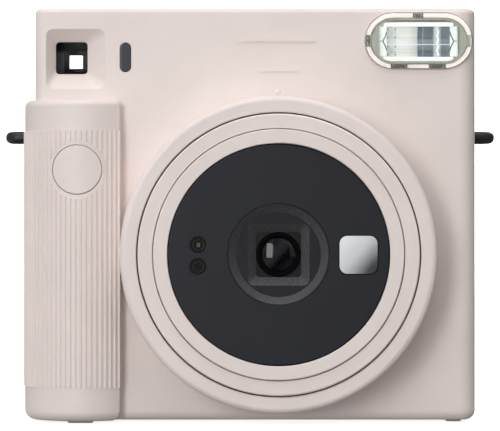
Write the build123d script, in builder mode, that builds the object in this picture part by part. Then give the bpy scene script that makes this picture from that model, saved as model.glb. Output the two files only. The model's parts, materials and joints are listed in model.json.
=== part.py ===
from build123d import *
import math
import os

# A square-format instant camera, in millimetres. +X is to the right as seen from the front, +Y points to
# the back and +Z is up. The origin is under the middle of the camera, on the surface that it stands on.

# ------------------------------------------------------------------ driving dimensions: the casing
BODY_LEFT = -62.0
BODY_RIGHT = 65.0
BODY_FRONT = -11.25
BODY_BACK = 28.75
BODY_TOP = 119.4
FOOT_HEIGHT = 0.8
WALL = 2.0
SPLIT_Y = -3.0  # where the front and rear covers meet
PARTING_LINE = 0.2
FRONT_LEFT_RADIUS = 3.0
FRONT_RIGHT_RADIUS = 4.5
BACK_RADIUS = 3.0
TOP_EDGE = 1.6
BOTTOM_EDGE = 2.8
FAR = 150.0  # beyond every part of the camera, for cuts that run right through
PAST = 1.0  # how far a cut starts outside the surface that it opens
SNUG = 0.05  # gap between pieces of one body
MOVING_GAP = 0.3  # gap between pieces that move past each other
SLIDE_GAP = 0.2  # radial gap of the telescoping barrel
PIN_GAP = 0.05  # radial gap of a pin in its bore

# ------------------------------------------------------------------ driving dimensions: the hand grip
GRIP_X = -48.4
GRIP_Y = -2.3
GRIP_RADIUS = 16.95
GRIP_LEFT = GRIP_X - GRIP_RADIUS
GRIP_RIGHT = -37.3
GRIP_TOP = 93.0
GRIP_TOP_EDGE = 1.9
GRIP_STEP_EDGE = 0.9
RIB_PITCH_DEG = 5.0
RIB_COUNT = 26
RIB_FIRST_DEG = -85.0  # 0 points to the front
RIB_HEIGHT = 0.35
RIB_BASE = 0.8
RIB_CREST = 0.3
RIB_BOTTOM = 10.4
RIB_TOP = 84.0

# ------------------------------------------------------------------ driving dimensions: the lens barrel
LENS_X = 8.1
LENS_Z = 48.6
RING_RADIUS = 45.0
RING_INNER = 40.3
RING_FRONT = -27.6
RING_LIP = 1.2
SLEEVE_INNER = 40.1
SLEEVE_OUTER = 42.9
OUTER_TIER_RADIUS = 39.9
OUTER_TIER_INNER = 35.72
OUTER_TIER_FRONT = -28.2
INNER_TIER_RADIUS = 35.5
INNER_TIER_FRONT = -28.75
FACE_RADIUS = 31.35
FACE_FRONT = -28.45
TIER_WALL = 2.0

# ------------------------------------------------------------------ driving dimensions: the other fittings
BUTTON_X = -49.4
BUTTON_Z = 72.8
BUTTON_RADIUS = 7.0
BUTTON_PLAIN_RING = 8.4
VIEWFINDER_X = -51.5
VIEWFINDER_Z = 105.15
VIEWFINDER_WIDTH = 9.2
VIEWFINDER_HEIGHT = 9.3
VIEWFINDER_FLOOR = -7.75
FLASH_X = 48.5
FLASH_Z = 109.95
FLASH_WIDTH = 31.2
FLASH_HEIGHT = 16.3
FLASH_BOSS_FRONT = BODY_FRONT - 0.35
FLASH_BOSS_DEPTH = 6.0
DOOR_AXIS_X = BODY_RIGHT - BACK_RADIUS
DOOR_AXIS_Y = BODY_BACK - BACK_RADIUS
DOOR_LEFT = -37.0
DOOR_BOTTOM = 8.0
DOOR_TOP = 112.0
DOOR_KNUCKLE_BOTTOM = 22.0
DOOR_KNUCKLE_TOP = 98.0
BATTERY_AXIS_X = GRIP_LEFT + 1.5
BATTERY_AXIS_Y = 20.5
BATTERY_KNUCKLE_RADIUS = 1.5
BATTERY_DOOR_FRONT = 0.3
BATTERY_DOOR_BOTTOM = 14.0
BATTERY_DOOR_TOP = 70.0
BATTERY_X = -54.0
BATTERY_Y = 8.0
BATTERY_RADIUS = 7.8
LUG_Y = 4.0
LUG_Z = 82.4
LUG_THICKNESS = 3.5
LUG_REACH = 71.3

# ------------------------------------------------------------------ driving dimensions: the film path
FILM_GATE = 62.0
CHASSIS_LEFT = -33.4
CHASSIS_RIGHT = 49.6
CHASSIS_FRONT = 4.4
CHASSIS_WALL = 1.5
PACK_LEFT = -31.5
PACK_RIGHT = 47.7
PACK_BOTTOM = 10.0
PACK_TOP = 103.0
ROLLER_Z = 108.0
DRIVE_ROLLER_Y = 5.2
GEAR_MODULE = 0.5
ROLLER_TEETH = 14
SMALL_TEETH = 12
LARGE_TEETH = 36
MESH_SLACK = 0.05  # added to each pair's centre distance
REDUCTION_DIRECTION = 229.0  # from the drive roller to the reduction gear, in degrees
MOTOR_DIRECTION = 255.0  # from the reduction gear to the motor
ROLLER_RADIUS = 3.35
ROLLER_SHAFT = 1.2
BRACKET_LEFT = -33.4
BRACKET_THICKNESS = 1.8
GEAR_LAYER_A = (-36.5, -34.1)
GEAR_LAYER_B = (-39.2, -36.8)

# ------------------------------------------------------------------ driving dimensions: screws and feet
SCREW_POSTS = [  # x, z and where the post begins
    (-58.6, 6.0, -13.0),
    (-42.0, 6.0, -16.5),
    (-58.6, 95.0, -10.0),
    (-42.0, 114.6, -10.0),
]
POST_RADIUS = 2.4
SCREW_RADIUS = 0.95
SCREW_HEAD_RADIUS = 1.75
SCREW_HEAD_FRONT = 1.6
SCREW_HEAD_BACK = 3.2
SCREW_TIP = -8.6
SCREW_CROSS = 2.2
SCREW_CROSS_WIDTH = 0.5
SCREW_CROSS_DEPTH = 0.7
FOOT_SPOTS = [  # x, y, length and width
    (-48.9, -9.5, 7.4, 4.0),
    (59.0, -1.0, 4.6, 6.0),
    (-57.0, 22.0, 6.0, 4.0),
    (56.0, 22.0, 6.0, 4.0),
]
FOOT_CORNER = 1.4
FOOT_CHAMFER = 0.25

LENS_AXIS = Axis((LENS_X, 0, LENS_Z), (0, 1, 0))
# In this plane a point is (distance from the lens axis, Y).
BARREL_SECTION = Plane(origin=(LENS_X, 0, LENS_Z), x_dir=(1, 0, 0), z_dir=(0, 0, 1))


# ------------------------------------------------------------------ helpers
def facing_front(y, x=0.0, z=0.0):
    """A plane at the given Y whose sketch axes are X and Z, and whose normal points to the front."""
    return Plane(origin=(x, y, z), x_dir=(1, 0, 0), z_dir=(0, -1, 0))


def facing_right(x, y=0.0, z=0.0):
    """A plane at the given X whose sketch axes are Y and Z, and whose normal points to the right."""
    return Plane(origin=(x, y, z), x_dir=(0, 1, 0), z_dir=(1, 0, 0))


def block(x_span, y_span, z_span, mode=Mode.ADD):
    """A box between two limits on each axis."""
    centre = [(low + high) / 2 for low, high in (x_span, y_span, z_span)]
    size = [high - low for low, high in (x_span, y_span, z_span)]
    with Locations(tuple(centre)):
        Box(*size, mode=mode)


def rod_along_y(x, z, radius, front, back, mode=Mode.ADD):
    with Locations((x, (front + back) / 2, z)):
        Cylinder(radius, back - front, rotation=(90, 0, 0), mode=mode)


def rod_along_x(y, z, radius, left, right, mode=Mode.ADD):
    with Locations(((left + right) / 2, y, z)):
        Cylinder(radius, right - left, rotation=(0, 90, 0), mode=mode)


def rod_along_z(x, y, radius, bottom, top, mode=Mode.ADD):
    with Locations((x, y, (bottom + top) / 2)):
        Cylinder(radius, top - bottom, mode=mode)


def section(inner, outer, front, back, mode=Mode.ADD):
    """A rectangle of a turned piece's section, between two radii and two values of Y."""
    with Locations(((inner + outer) / 2, (front + back) / 2)):
        Rectangle(outer - inner, back - front, mode=mode)


def section_corners(sketch, *corners):
    """The vertices of a section at the given (radius, Y) corners."""
    return [sketch.vertices().sort_by_distance((radius, y, 0))[0] for radius, y in corners]


def save(piece, name):
    piece.part.label = name
    export_step(piece.part, f"parts/{name}.step")


os.makedirs("parts", exist_ok=True)


# ------------------------------------------------------------------ casing blocks, cut up into the covers
with BuildPart() as body_block:
    with BuildSketch(Plane.XY.offset(FOOT_HEIGHT)) as body_outline:
        with Locations(((BODY_LEFT + BODY_RIGHT) / 2, (BODY_FRONT + BODY_BACK) / 2)):
            Rectangle(BODY_RIGHT - BODY_LEFT, BODY_BACK - BODY_FRONT)
        fillet(body_outline.vertices().sort_by(Axis.Y)[-2:], BACK_RADIUS)
        front_corners = body_outline.vertices().sort_by(Axis.Y)[:2].sort_by(Axis.X)
        fillet(front_corners[0], FRONT_LEFT_RADIUS)
        fillet(body_outline.vertices().sort_by_distance((BODY_RIGHT, BODY_FRONT, 0))[0], FRONT_RIGHT_RADIUS)
    extrude(amount=BODY_TOP - FOOT_HEIGHT)
    fillet(body_block.faces().sort_by(Axis.Z)[-1].edges(), TOP_EDGE)
    fillet(body_block.faces().sort_by(Axis.Z)[0].edges(), BOTTOM_EDGE)


def grip_outline(inset):
    """The grip's section: a round front that runs straight back along the side, drawn in by the inset."""
    radius = GRIP_RADIUS - inset
    right = GRIP_RIGHT - inset
    sweep = 90 + math.degrees(math.asin((right - GRIP_X) / radius))
    with BuildLine() as outline:
        front = CenterArc((GRIP_X, GRIP_Y), radius, 180, sweep)
        Polyline(front @ 1, (right, BODY_BACK - inset), (GRIP_X - radius, BODY_BACK - inset), front @ 0)
    return outline.line


grip_outside = grip_outline(0.0)
grip_inside = grip_outline(WALL)

with BuildPart() as grip_block:
    with BuildSketch(Plane.XY.offset(FOOT_HEIGHT)) as grip_sketch:
        add(grip_outside)
        make_face()
        fillet(grip_sketch.vertices().sort_by_distance((GRIP_LEFT, BODY_BACK, 0))[0], BACK_RADIUS)
        fillet(grip_sketch.vertices().sort_by_distance((GRIP_RIGHT, -15.0, 0))[0], GRIP_STEP_EDGE)
    extrude(amount=GRIP_TOP - FOOT_HEIGHT)
    fillet(grip_block.faces().sort_by(Axis.Z)[-1].edges(), GRIP_TOP_EDGE)
    fillet(grip_block.faces().sort_by(Axis.Z)[0].edges(), BOTTOM_EDGE)

with BuildPart() as grip_ribs:
    with BuildSketch(Plane.XY.offset(RIB_BOTTOM)):
        for index in range(RIB_COUNT):
            angle = RIB_FIRST_DEG + index * RIB_PITCH_DEG
            with Locations(Location((GRIP_X, GRIP_Y, 0), (0, 0, angle))):
                Polygon(
                    (RIB_BASE / 2, RIB_HEIGHT - GRIP_RADIUS),
                    (-RIB_BASE / 2, RIB_HEIGHT - GRIP_RADIUS),
                    (-RIB_BASE / 2, -GRIP_RADIUS),
                    (-RIB_CREST / 2, -GRIP_RADIUS - RIB_HEIGHT),
                    (RIB_CREST / 2, -GRIP_RADIUS - RIB_HEIGHT),
                    (RIB_BASE / 2, -GRIP_RADIUS),
                    align=None,
                )
    extrude(amount=RIB_TOP - RIB_BOTTOM)
    # The ribs stop short of the shutter button.
    rod_along_y(BUTTON_X, BUTTON_Z, BUTTON_PLAIN_RING, -FAR, BODY_FRONT, mode=Mode.SUBTRACT)

with BuildPart() as cavity:
    block(
        (BODY_LEFT + WALL, BODY_RIGHT - WALL),
        (BODY_FRONT + WALL, BODY_BACK - WALL),
        (FOOT_HEIGHT + WALL, BODY_TOP - WALL),
    )
    with BuildSketch(Plane.XY.offset(FOOT_HEIGHT + WALL)):
        add(grip_inside)
        make_face()
    extrude(amount=GRIP_TOP - FOOT_HEIGHT - 2 * WALL)

# ------------------------------------------------------------------ front cover
FUNNEL_X = -50.2
FUNNEL_Z = 104.75
FUNNEL_WIDTH = 17.0
FUNNEL_HEIGHT = 17.3
FUNNEL_BACK = -6.9
SENSOR_WINDOW_X = -35.85
SENSOR_WINDOW_Z = 105.2
SENSOR_WINDOW_WIDTH = 3.35
SENSOR_WINDOW_HEIGHT = 8.6
FUNNEL_BACKING = 1.5  # thickness of the plastic around the funnel
FUNNEL_CORNER = 2.0
FINDER_CORNER = 1.1
BUTTON_BORE_GAP = 0.17
FLASH_OPENING_WIDTH = 28.0
FLASH_OPENING_HEIGHT = 13.3
INDEX_DOT_Z = 95.2
INDEX_DOT_RADIUS = 1.1
INDEX_DOT_SUNK = 0.75
BAR_THICKNESS = 1.2
BAR_RELIEF = 0.3
PLAIN_BARS = [(110.3, 22.0), (101.7, 11.0)]  # height on the front and length of each bar

with BuildPart() as front_cover:
    add(body_block.part)
    add(grip_block.part)
    add(grip_ribs.part)
    # The flash stands on a low boss that runs into the rounded corner.
    with BuildSketch(facing_front(FLASH_BOSS_FRONT)):
        with Locations((FLASH_X, FLASH_Z)):
            SlotOverall(FLASH_WIDTH, FLASH_HEIGHT)
    extrude(amount=-FLASH_BOSS_DEPTH)
    add(cavity.part, mode=Mode.SUBTRACT)
    # A block behind the wall carries the viewfinder's funnel.
    block(
        (FUNNEL_X - FUNNEL_WIDTH / 2 - FUNNEL_BACKING, FUNNEL_X + FUNNEL_WIDTH / 2 + FUNNEL_BACKING),
        (BODY_FRONT + WALL, FUNNEL_BACK),
        (FUNNEL_Z - FUNNEL_HEIGHT / 2 - FUNNEL_BACKING, FUNNEL_Z + FUNNEL_HEIGHT / 2 + FUNNEL_BACKING),
    )
    for x, z, post_front in SCREW_POSTS:
        rod_along_y(x, z, POST_RADIUS, post_front, SPLIT_Y)
        rod_along_y(x, z, SCREW_RADIUS + SNUG, SCREW_TIP - MOVING_GAP, SPLIT_Y, mode=Mode.SUBTRACT)
    block((-FAR, FAR), (SPLIT_Y - PARTING_LINE / 2, FAR), (-FAR, FAR), mode=Mode.SUBTRACT)
    # Opening for the barrel sleeve.
    rod_along_y(LENS_X, LENS_Z, SLEEVE_OUTER + SNUG, BODY_FRONT - PAST, SPLIT_Y, mode=Mode.SUBTRACT)
    # Viewfinder funnel, narrowing to its window.
    with BuildSketch(facing_front(BODY_FRONT)):
        with Locations((FUNNEL_X, FUNNEL_Z)):
            RectangleRounded(FUNNEL_WIDTH, FUNNEL_HEIGHT, FUNNEL_CORNER)
    with BuildSketch(facing_front(VIEWFINDER_FLOOR)):
        with Locations((VIEWFINDER_X, VIEWFINDER_Z)):
            RectangleRounded(VIEWFINDER_WIDTH, VIEWFINDER_HEIGHT, FINDER_CORNER)
    loft(mode=Mode.SUBTRACT)
    with BuildSketch(facing_front(VIEWFINDER_FLOOR)):
        with Locations((VIEWFINDER_X, VIEWFINDER_Z)):
            RectangleRounded(VIEWFINDER_WIDTH, VIEWFINDER_HEIGHT, FINDER_CORNER)
    extrude(amount=VIEWFINDER_FLOOR - SPLIT_Y, mode=Mode.SUBTRACT)
    # Flash opening, flash sensor opening and shutter button bore.
    with BuildSketch(facing_front(FLASH_BOSS_FRONT - PAST)):
        with Locations((FLASH_X, FLASH_Z)):
            SlotOverall(FLASH_OPENING_WIDTH, FLASH_OPENING_HEIGHT)
    extrude(amount=-FAR, mode=Mode.SUBTRACT)
    with BuildSketch(facing_front(BODY_FRONT - PAST)):
        with Locations((SENSOR_WINDOW_X, SENSOR_WINDOW_Z)):
            SlotOverall(SENSOR_WINDOW_HEIGHT, SENSOR_WINDOW_WIDTH, rotation=90)
    extrude(amount=-FAR, mode=Mode.SUBTRACT)
    rod_along_y(BUTTON_X, BUTTON_Z, BUTTON_RADIUS + BUTTON_BORE_GAP, -FAR, BODY_FRONT, mode=Mode.SUBTRACT)
    # Index dot above the mode ring.
    with Locations((LENS_X, BODY_FRONT + INDEX_DOT_SUNK, INDEX_DOT_Z)):
        Sphere(INDEX_DOT_RADIUS)
    # Two plain raised bars, in place of lettering.
    for bar_z, bar_length in PLAIN_BARS:
        with BuildSketch(facing_front(BODY_FRONT)):
            with Locations((LENS_X, bar_z)):
                SlotOverall(bar_length, BAR_THICKNESS)
        extrude(amount=BAR_RELIEF)

save(front_cover, "front_cover")


# ------------------------------------------------------------------ rear cover
SLOT_FRONT = 7.2
SLOT_BACK = 10.2
SLOT_LEFT = -29.4
SLOT_RIGHT = 45.6
EYEPIECE_SIZE = 9.0
COUNTER_X = -50.0
COUNTER_Z = 81.0
COUNTER_WINDOW_Z = 86.2
COUNTER_WINDOW_WIDTH = 6.0
COUNTER_WINDOW_HEIGHT = 4.2
LATCH_X = -44.0
LATCH_CORNER = 1.2
LATCH_Z = 60.0
LATCH_TRAVEL = 4.0
LUG_TANG_WIDTH = 7.0
LATCH_SLOT_HEIGHT = 4.6
LATCH_STEM_HALF_WIDTH = 1.0
DOOR_CLEARANCE = 3.3  # from the film door's hinge axis to the edge of its opening
DOOR_PIN_RADIUS = 1.0
DOOR_PIN_END = 2.0  # from the door's top and bottom to the ends of the case's knuckles
BATTERY_PIN_RADIUS = 0.7
BATTERY_KNUCKLE_MARGIN = 6.0  # from the battery door's ends to its own knuckle
BATTERY_SWING_ROOM = 1.95  # behind the hinge axis, for the door's back edge as it opens
DIAL_PIN_RADIUS = 1.0
DIAL_PIN_FRONT = 23.6
BACK_WALL_CUT = (BODY_BACK - WALL - PAST, BODY_BACK + PAST)
EYEPIECE_RIM = 1.2
EYEPIECE_RIM_CORNER = 1.8
EYEPIECE_RIM_DEPTH = 0.8
LATCH_RECESS = (10.0, 14.0)
LATCH_RECESS_CORNER = 1.5
LATCH_RECESS_DEPTH = 1.2

with BuildPart() as rear_cover:
    add(body_block.part)
    add(grip_block.part)
    add(cavity.part, mode=Mode.SUBTRACT)
    block((-FAR, FAR), (-FAR, SPLIT_Y + PARTING_LINE / 2), (-FAR, FAR), mode=Mode.SUBTRACT)
    # Film door: an opening, end knuckles at the corner, and room for the door's own knuckle.
    block(
        (DOOR_LEFT - MOVING_GAP, DOOR_AXIS_X),
        BACK_WALL_CUT,
        (DOOR_BOTTOM - MOVING_GAP, DOOR_TOP + MOVING_GAP),
        mode=Mode.SUBTRACT,
    )
    rod_along_z(DOOR_AXIS_X, DOOR_AXIS_Y, BACK_RADIUS, DOOR_BOTTOM - DOOR_PIN_END, DOOR_KNUCKLE_BOTTOM)
    rod_along_z(DOOR_AXIS_X, DOOR_AXIS_Y, BACK_RADIUS, DOOR_KNUCKLE_TOP, DOOR_TOP + DOOR_PIN_END)
    rod_along_z(
        DOOR_AXIS_X,
        DOOR_AXIS_Y,
        DOOR_CLEARANCE,
        DOOR_KNUCKLE_BOTTOM - MOVING_GAP,
        DOOR_KNUCKLE_TOP + MOVING_GAP,
        mode=Mode.SUBTRACT,
    )
    rod_along_z(
        DOOR_AXIS_X, DOOR_AXIS_Y, DOOR_PIN_RADIUS + PIN_GAP, DOOR_BOTTOM, DOOR_TOP, mode=Mode.SUBTRACT
    )
    # Battery door: the same arrangement on the grip's side.
    block(
        (GRIP_LEFT - PAST, GRIP_LEFT + WALL + PAST),
        (BATTERY_DOOR_FRONT - MOVING_GAP, BATTERY_AXIS_Y),
        (BATTERY_DOOR_BOTTOM - MOVING_GAP, BATTERY_DOOR_TOP + MOVING_GAP),
        mode=Mode.SUBTRACT,
    )
    rod_along_z(
        BATTERY_AXIS_X,
        BATTERY_AXIS_Y,
        BATTERY_KNUCKLE_RADIUS,
        BATTERY_DOOR_BOTTOM - PAST,
        BATTERY_DOOR_TOP + PAST,
    )
    rod_along_z(
        BATTERY_AXIS_X,
        BATTERY_AXIS_Y,
        BATTERY_KNUCKLE_RADIUS + MOVING_GAP,
        BATTERY_DOOR_BOTTOM + BATTERY_KNUCKLE_MARGIN - MOVING_GAP,
        BATTERY_DOOR_TOP - BATTERY_KNUCKLE_MARGIN + MOVING_GAP,
        mode=Mode.SUBTRACT,
    )
    block(
        (GRIP_LEFT - PAST, BATTERY_AXIS_X),
        (BATTERY_AXIS_Y, BATTERY_AXIS_Y + BATTERY_SWING_ROOM),
        (
            BATTERY_DOOR_BOTTOM + BATTERY_KNUCKLE_MARGIN - MOVING_GAP,
            BATTERY_DOOR_TOP - BATTERY_KNUCKLE_MARGIN + MOVING_GAP,
        ),
        mode=Mode.SUBTRACT,
    )
    rod_along_z(
        BATTERY_AXIS_X,
        BATTERY_AXIS_Y,
        BATTERY_PIN_RADIUS + PIN_GAP,
        BATTERY_DOOR_BOTTOM,
        BATTERY_DOOR_TOP,
        mode=Mode.SUBTRACT,
    )
    # Film exit slot in the top.
    block(
        (SLOT_LEFT, SLOT_RIGHT),
        (SLOT_FRONT, SLOT_BACK),
        (BODY_TOP - WALL - PAST, BODY_TOP + PAST),
        mode=Mode.SUBTRACT,
    )
    # Eyepiece, with a wider rim.
    block(
        (VIEWFINDER_X - EYEPIECE_SIZE / 2 - SNUG, VIEWFINDER_X + EYEPIECE_SIZE / 2 + SNUG),
        BACK_WALL_CUT,
        (VIEWFINDER_Z - EYEPIECE_SIZE / 2 - SNUG, VIEWFINDER_Z + EYEPIECE_SIZE / 2 + SNUG),
        mode=Mode.SUBTRACT,
    )
    rim_size = EYEPIECE_SIZE + 2 * EYEPIECE_RIM
    with BuildSketch(facing_front(BODY_BACK - EYEPIECE_RIM_DEPTH)):
        with Locations((VIEWFINDER_X, VIEWFINDER_Z)):
            RectangleRounded(rim_size, rim_size, EYEPIECE_RIM_CORNER)
    extrude(amount=-FAR, mode=Mode.SUBTRACT)
    # Counter window and the pin that the counter dial turns on.
    block(
        (COUNTER_X - COUNTER_WINDOW_WIDTH / 2 - SNUG, COUNTER_X + COUNTER_WINDOW_WIDTH / 2 + SNUG),
        BACK_WALL_CUT,
        (
            COUNTER_WINDOW_Z - COUNTER_WINDOW_HEIGHT / 2 - SNUG,
            COUNTER_WINDOW_Z + COUNTER_WINDOW_HEIGHT / 2 + SNUG,
        ),
        mode=Mode.SUBTRACT,
    )
    rod_along_y(COUNTER_X, COUNTER_Z, DIAL_PIN_RADIUS, DIAL_PIN_FRONT, BODY_BACK - WALL)
    # Recess and slot of the door latch.
    with BuildSketch(facing_front(BODY_BACK - LATCH_RECESS_DEPTH)):
        with Locations((LATCH_X - LATCH_TRAVEL / 2, LATCH_Z)):
            RectangleRounded(*LATCH_RECESS, LATCH_RECESS_CORNER)
    extrude(amount=-FAR, mode=Mode.SUBTRACT)
    latch_stem_room = LATCH_STEM_HALF_WIDTH + MOVING_GAP
    block(
        (LATCH_X - LATCH_TRAVEL - latch_stem_room, LATCH_X + latch_stem_room),
        BACK_WALL_CUT,
        (LATCH_Z - LATCH_SLOT_HEIGHT / 2, LATCH_Z + LATCH_SLOT_HEIGHT / 2),
        mode=Mode.SUBTRACT,
    )
    # Slots for the strap lugs.
    block(
        (-FAR, FAR),
        (LUG_Y - LUG_TANG_WIDTH / 2 - SNUG, LUG_Y + LUG_TANG_WIDTH / 2 + SNUG),
        (LUG_Z - LUG_THICKNESS / 2 - SNUG, LUG_Z + LUG_THICKNESS / 2 + SNUG),
        mode=Mode.SUBTRACT,
    )
    # Screw posts, with deep bores for the heads.
    for x, z, post_front in SCREW_POSTS:
        rod_along_y(x, z, POST_RADIUS, SPLIT_Y + PARTING_LINE / 2, BODY_BACK - WALL)
        rod_along_y(x, z, SCREW_RADIUS + SNUG, SPLIT_Y, BODY_BACK, mode=Mode.SUBTRACT)
        rod_along_y(x, z, SCREW_HEAD_RADIUS + SNUG, SCREW_HEAD_FRONT, BODY_BACK + PAST, mode=Mode.SUBTRACT)

save(rear_cover, "rear_cover")

with BuildPart() as housing_screws:
    for x, z, post_front in SCREW_POSTS:
        rod_along_y(x, z, SCREW_RADIUS, SCREW_TIP, SCREW_HEAD_FRONT + 2 * SNUG)
        rod_along_y(x, z, SCREW_HEAD_RADIUS, SCREW_HEAD_FRONT + SNUG, SCREW_HEAD_BACK)
        for width, height in ((SCREW_CROSS, SCREW_CROSS_WIDTH), (SCREW_CROSS_WIDTH, SCREW_CROSS)):
            block(
                (x - width / 2, x + width / 2),
                (SCREW_HEAD_BACK - SCREW_CROSS_DEPTH, SCREW_HEAD_BACK + PAST),
                (z - height / 2, z + height / 2),
                mode=Mode.SUBTRACT,
            )

save(housing_screws, "housing_screws")

with BuildPart() as feet:
    for x, y, length, width in FOOT_SPOTS:
        with BuildSketch(Plane.XY):
            with Locations((x, y)):
                RectangleRounded(length, width, FOOT_CORNER)
        extrude(amount=FOOT_HEIGHT)
    chamfer(feet.edges().group_by(Axis.Z)[0], FOOT_CHAMFER)

save(feet, "feet")


LUG_WIDTH = 11.0
LUG_TIP_RADIUS = 4.2
LUG_TANG_DEPTH = WALL + 1.6
LUG_EYE_X = 2.4  # from the side of the camera to the middle of the eye
LUG_EYE_LENGTH = 6.4
LUG_EYE_WIDTH = 2.6
LUG_ROUNDING = 1.6


def strap_lug(side, surface):
    """A flat loop that stands out of the side, with a tang through the cover's wall."""
    reach = LUG_REACH - abs(surface) - SNUG
    root = surface + side * SNUG
    with BuildPart() as lug:
        with BuildSketch(Plane.XY.offset(LUG_Z - LUG_THICKNESS / 2)) as loop:
            with Locations((root + side * reach / 2, LUG_Y)):
                Rectangle(reach, LUG_WIDTH)
            tips = loop.vertices().sort_by_distance((side * LUG_REACH, LUG_Y, 0))[:2]
            fillet(tips, LUG_TIP_RADIUS)
            with Locations((root + side * LUG_EYE_X, LUG_Y)):
                SlotOverall(LUG_EYE_LENGTH, LUG_EYE_WIDTH, rotation=90, mode=Mode.SUBTRACT)
        extrude(amount=LUG_THICKNESS)
        round_edges = lug.edges().filter_by(GeomType.CIRCLE)
        outer_rims = round_edges.filter_by(lambda edge: edge.radius > LUG_EYE_WIDTH)
        fillet(outer_rims, LUG_ROUNDING)
        block(
            sorted((root, root - side * LUG_TANG_DEPTH)),
            (LUG_Y - LUG_TANG_WIDTH / 2, LUG_Y + LUG_TANG_WIDTH / 2),
            (LUG_Z - LUG_THICKNESS / 2, LUG_Z + LUG_THICKNESS / 2),
        )
    return lug


strap_lug_left = strap_lug(-1, GRIP_LEFT)
save(strap_lug_left, "strap_lug_left")
strap_lug_right = strap_lug(1, BODY_RIGHT)
save(strap_lug_right, "strap_lug_right")

# ------------------------------------------------------------------ film door
DOOR_PLATE = 1.8
DOOR_CORNER = 2.0
DOOR_EDGE = 0.5
DOOR_RECESS_MARGIN = 5.0
DOOR_HINGE_MARGIN = 12.0  # from the hinge axis to the recess
FILM_WINDOW_X = -16.0
FILM_WINDOW_Z = 60.0
FILM_WINDOW_WIDTH = 7.0
FILM_WINDOW_HEIGHT = 14.0
WINDOW_SUNK = 0.3  # how far the clear windows sit below the back

with BuildPart() as film_door:
    block((DOOR_LEFT, DOOR_AXIS_X - DOOR_CLEARANCE), (DOOR_AXIS_Y, BODY_BACK), (DOOR_BOTTOM, DOOR_TOP))
    fillet(film_door.edges().filter_by(Axis.Y).sort_by(Axis.X)[:2], DOOR_CORNER)
    fillet(film_door.faces().sort_by(Axis.Y)[-1].edges(), DOOR_EDGE)
    block(
        (DOOR_AXIS_X - DOOR_CLEARANCE - PAST, DOOR_AXIS_X),
        (DOOR_AXIS_Y, BODY_BACK),
        (DOOR_KNUCKLE_BOTTOM, DOOR_KNUCKLE_TOP),
    )
    rod_along_z(DOOR_AXIS_X, DOOR_AXIS_Y, BACK_RADIUS, DOOR_KNUCKLE_BOTTOM, DOOR_KNUCKLE_TOP)
    rod_along_z(
        DOOR_AXIS_X,
        DOOR_AXIS_Y,
        DOOR_PIN_RADIUS + PIN_GAP,
        DOOR_KNUCKLE_BOTTOM,
        DOOR_KNUCKLE_TOP,
        mode=Mode.SUBTRACT,
    )
    # Inside recess, and the opening of the film window.
    block(
        (DOOR_LEFT + DOOR_RECESS_MARGIN, DOOR_AXIS_X - DOOR_HINGE_MARGIN),
        (DOOR_AXIS_Y - PAST, BODY_BACK - DOOR_PLATE),
        (DOOR_BOTTOM + DOOR_RECESS_MARGIN, DOOR_TOP - DOOR_RECESS_MARGIN),
        mode=Mode.SUBTRACT,
    )
    block(
        (FILM_WINDOW_X - FILM_WINDOW_WIDTH / 2 - SNUG, FILM_WINDOW_X + FILM_WINDOW_WIDTH / 2 + SNUG),
        (DOOR_AXIS_Y - PAST, BODY_BACK + PAST),
        (FILM_WINDOW_Z - FILM_WINDOW_HEIGHT / 2 - SNUG, FILM_WINDOW_Z + FILM_WINDOW_HEIGHT / 2 + SNUG),
        mode=Mode.SUBTRACT,
    )

save(film_door, "film_door")

with BuildPart() as film_window:
    block(
        (FILM_WINDOW_X - FILM_WINDOW_WIDTH / 2, FILM_WINDOW_X + FILM_WINDOW_WIDTH / 2),
        (BODY_BACK - DOOR_PLATE, BODY_BACK - WINDOW_SUNK),
        (FILM_WINDOW_Z - FILM_WINDOW_HEIGHT / 2, FILM_WINDOW_Z + FILM_WINDOW_HEIGHT / 2),
    )

save(film_window, "film_window")

SPRING_HEIGHTS = [28.0, 92.0]
SPRING_WIDTH = 8.0
SPRING_HALF_LENGTH = 26.0
SPRING_SHEET = 0.45
SPRING_CREST = DOOR_AXIS_Y - 0.35  # the bow's highest line, against the film pack

with BuildPart() as pressure_springs:
    spring_back = BODY_BACK - DOOR_PLATE - SNUG
    spring_front = spring_back - SPRING_SHEET
    left = LENS_X - SPRING_HALF_LENGTH
    right = LENS_X + SPRING_HALF_LENGTH
    for z in SPRING_HEIGHTS:
        with BuildSketch(Plane.XY.offset(z - SPRING_WIDTH / 2)):
            with BuildLine():
                Spline((left, spring_front), (LENS_X, SPRING_CREST), (right, spring_front))
                Line((right, spring_front), (right, spring_back))
                Spline((right, spring_back), (LENS_X, SPRING_CREST + SPRING_SHEET), (left, spring_back))
                Line((left, spring_back), (left, spring_front))
            make_face()
        extrude(amount=SPRING_WIDTH)

save(pressure_springs, "pressure_springs")

with BuildPart() as door_hinge_pin:
    rod_along_z(DOOR_AXIS_X, DOOR_AXIS_Y, DOOR_PIN_RADIUS, DOOR_BOTTOM + SNUG, DOOR_TOP - SNUG)

save(door_hinge_pin, "door_hinge_pin")

LATCH_BUTTON_WIDTH = 5.0
LATCH_BUTTON_HEIGHT = 12.0
LATCH_BUTTON_FRONT = BODY_BACK - 0.9
LATCH_GROOVES = (-1.5, 0.0, 1.5)
LATCH_GROOVE_WIDTH = 0.6
LATCH_GROOVE_DEPTH = 0.4
LATCH_GROOVE_MARGIN = 1.5
LATCH_STEM_HEIGHT = 4.0
LATCH_BOLT_LEFT = LATCH_X - 3.2
LATCH_BOLT_RIGHT = DOOR_LEFT - 0.7
LATCH_BOLT_HEIGHT = 8.0
LATCH_BOLT_FRONT = BODY_BACK - 3.6
LATCH_BOLT_BACK = BODY_BACK - 2.3

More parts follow.
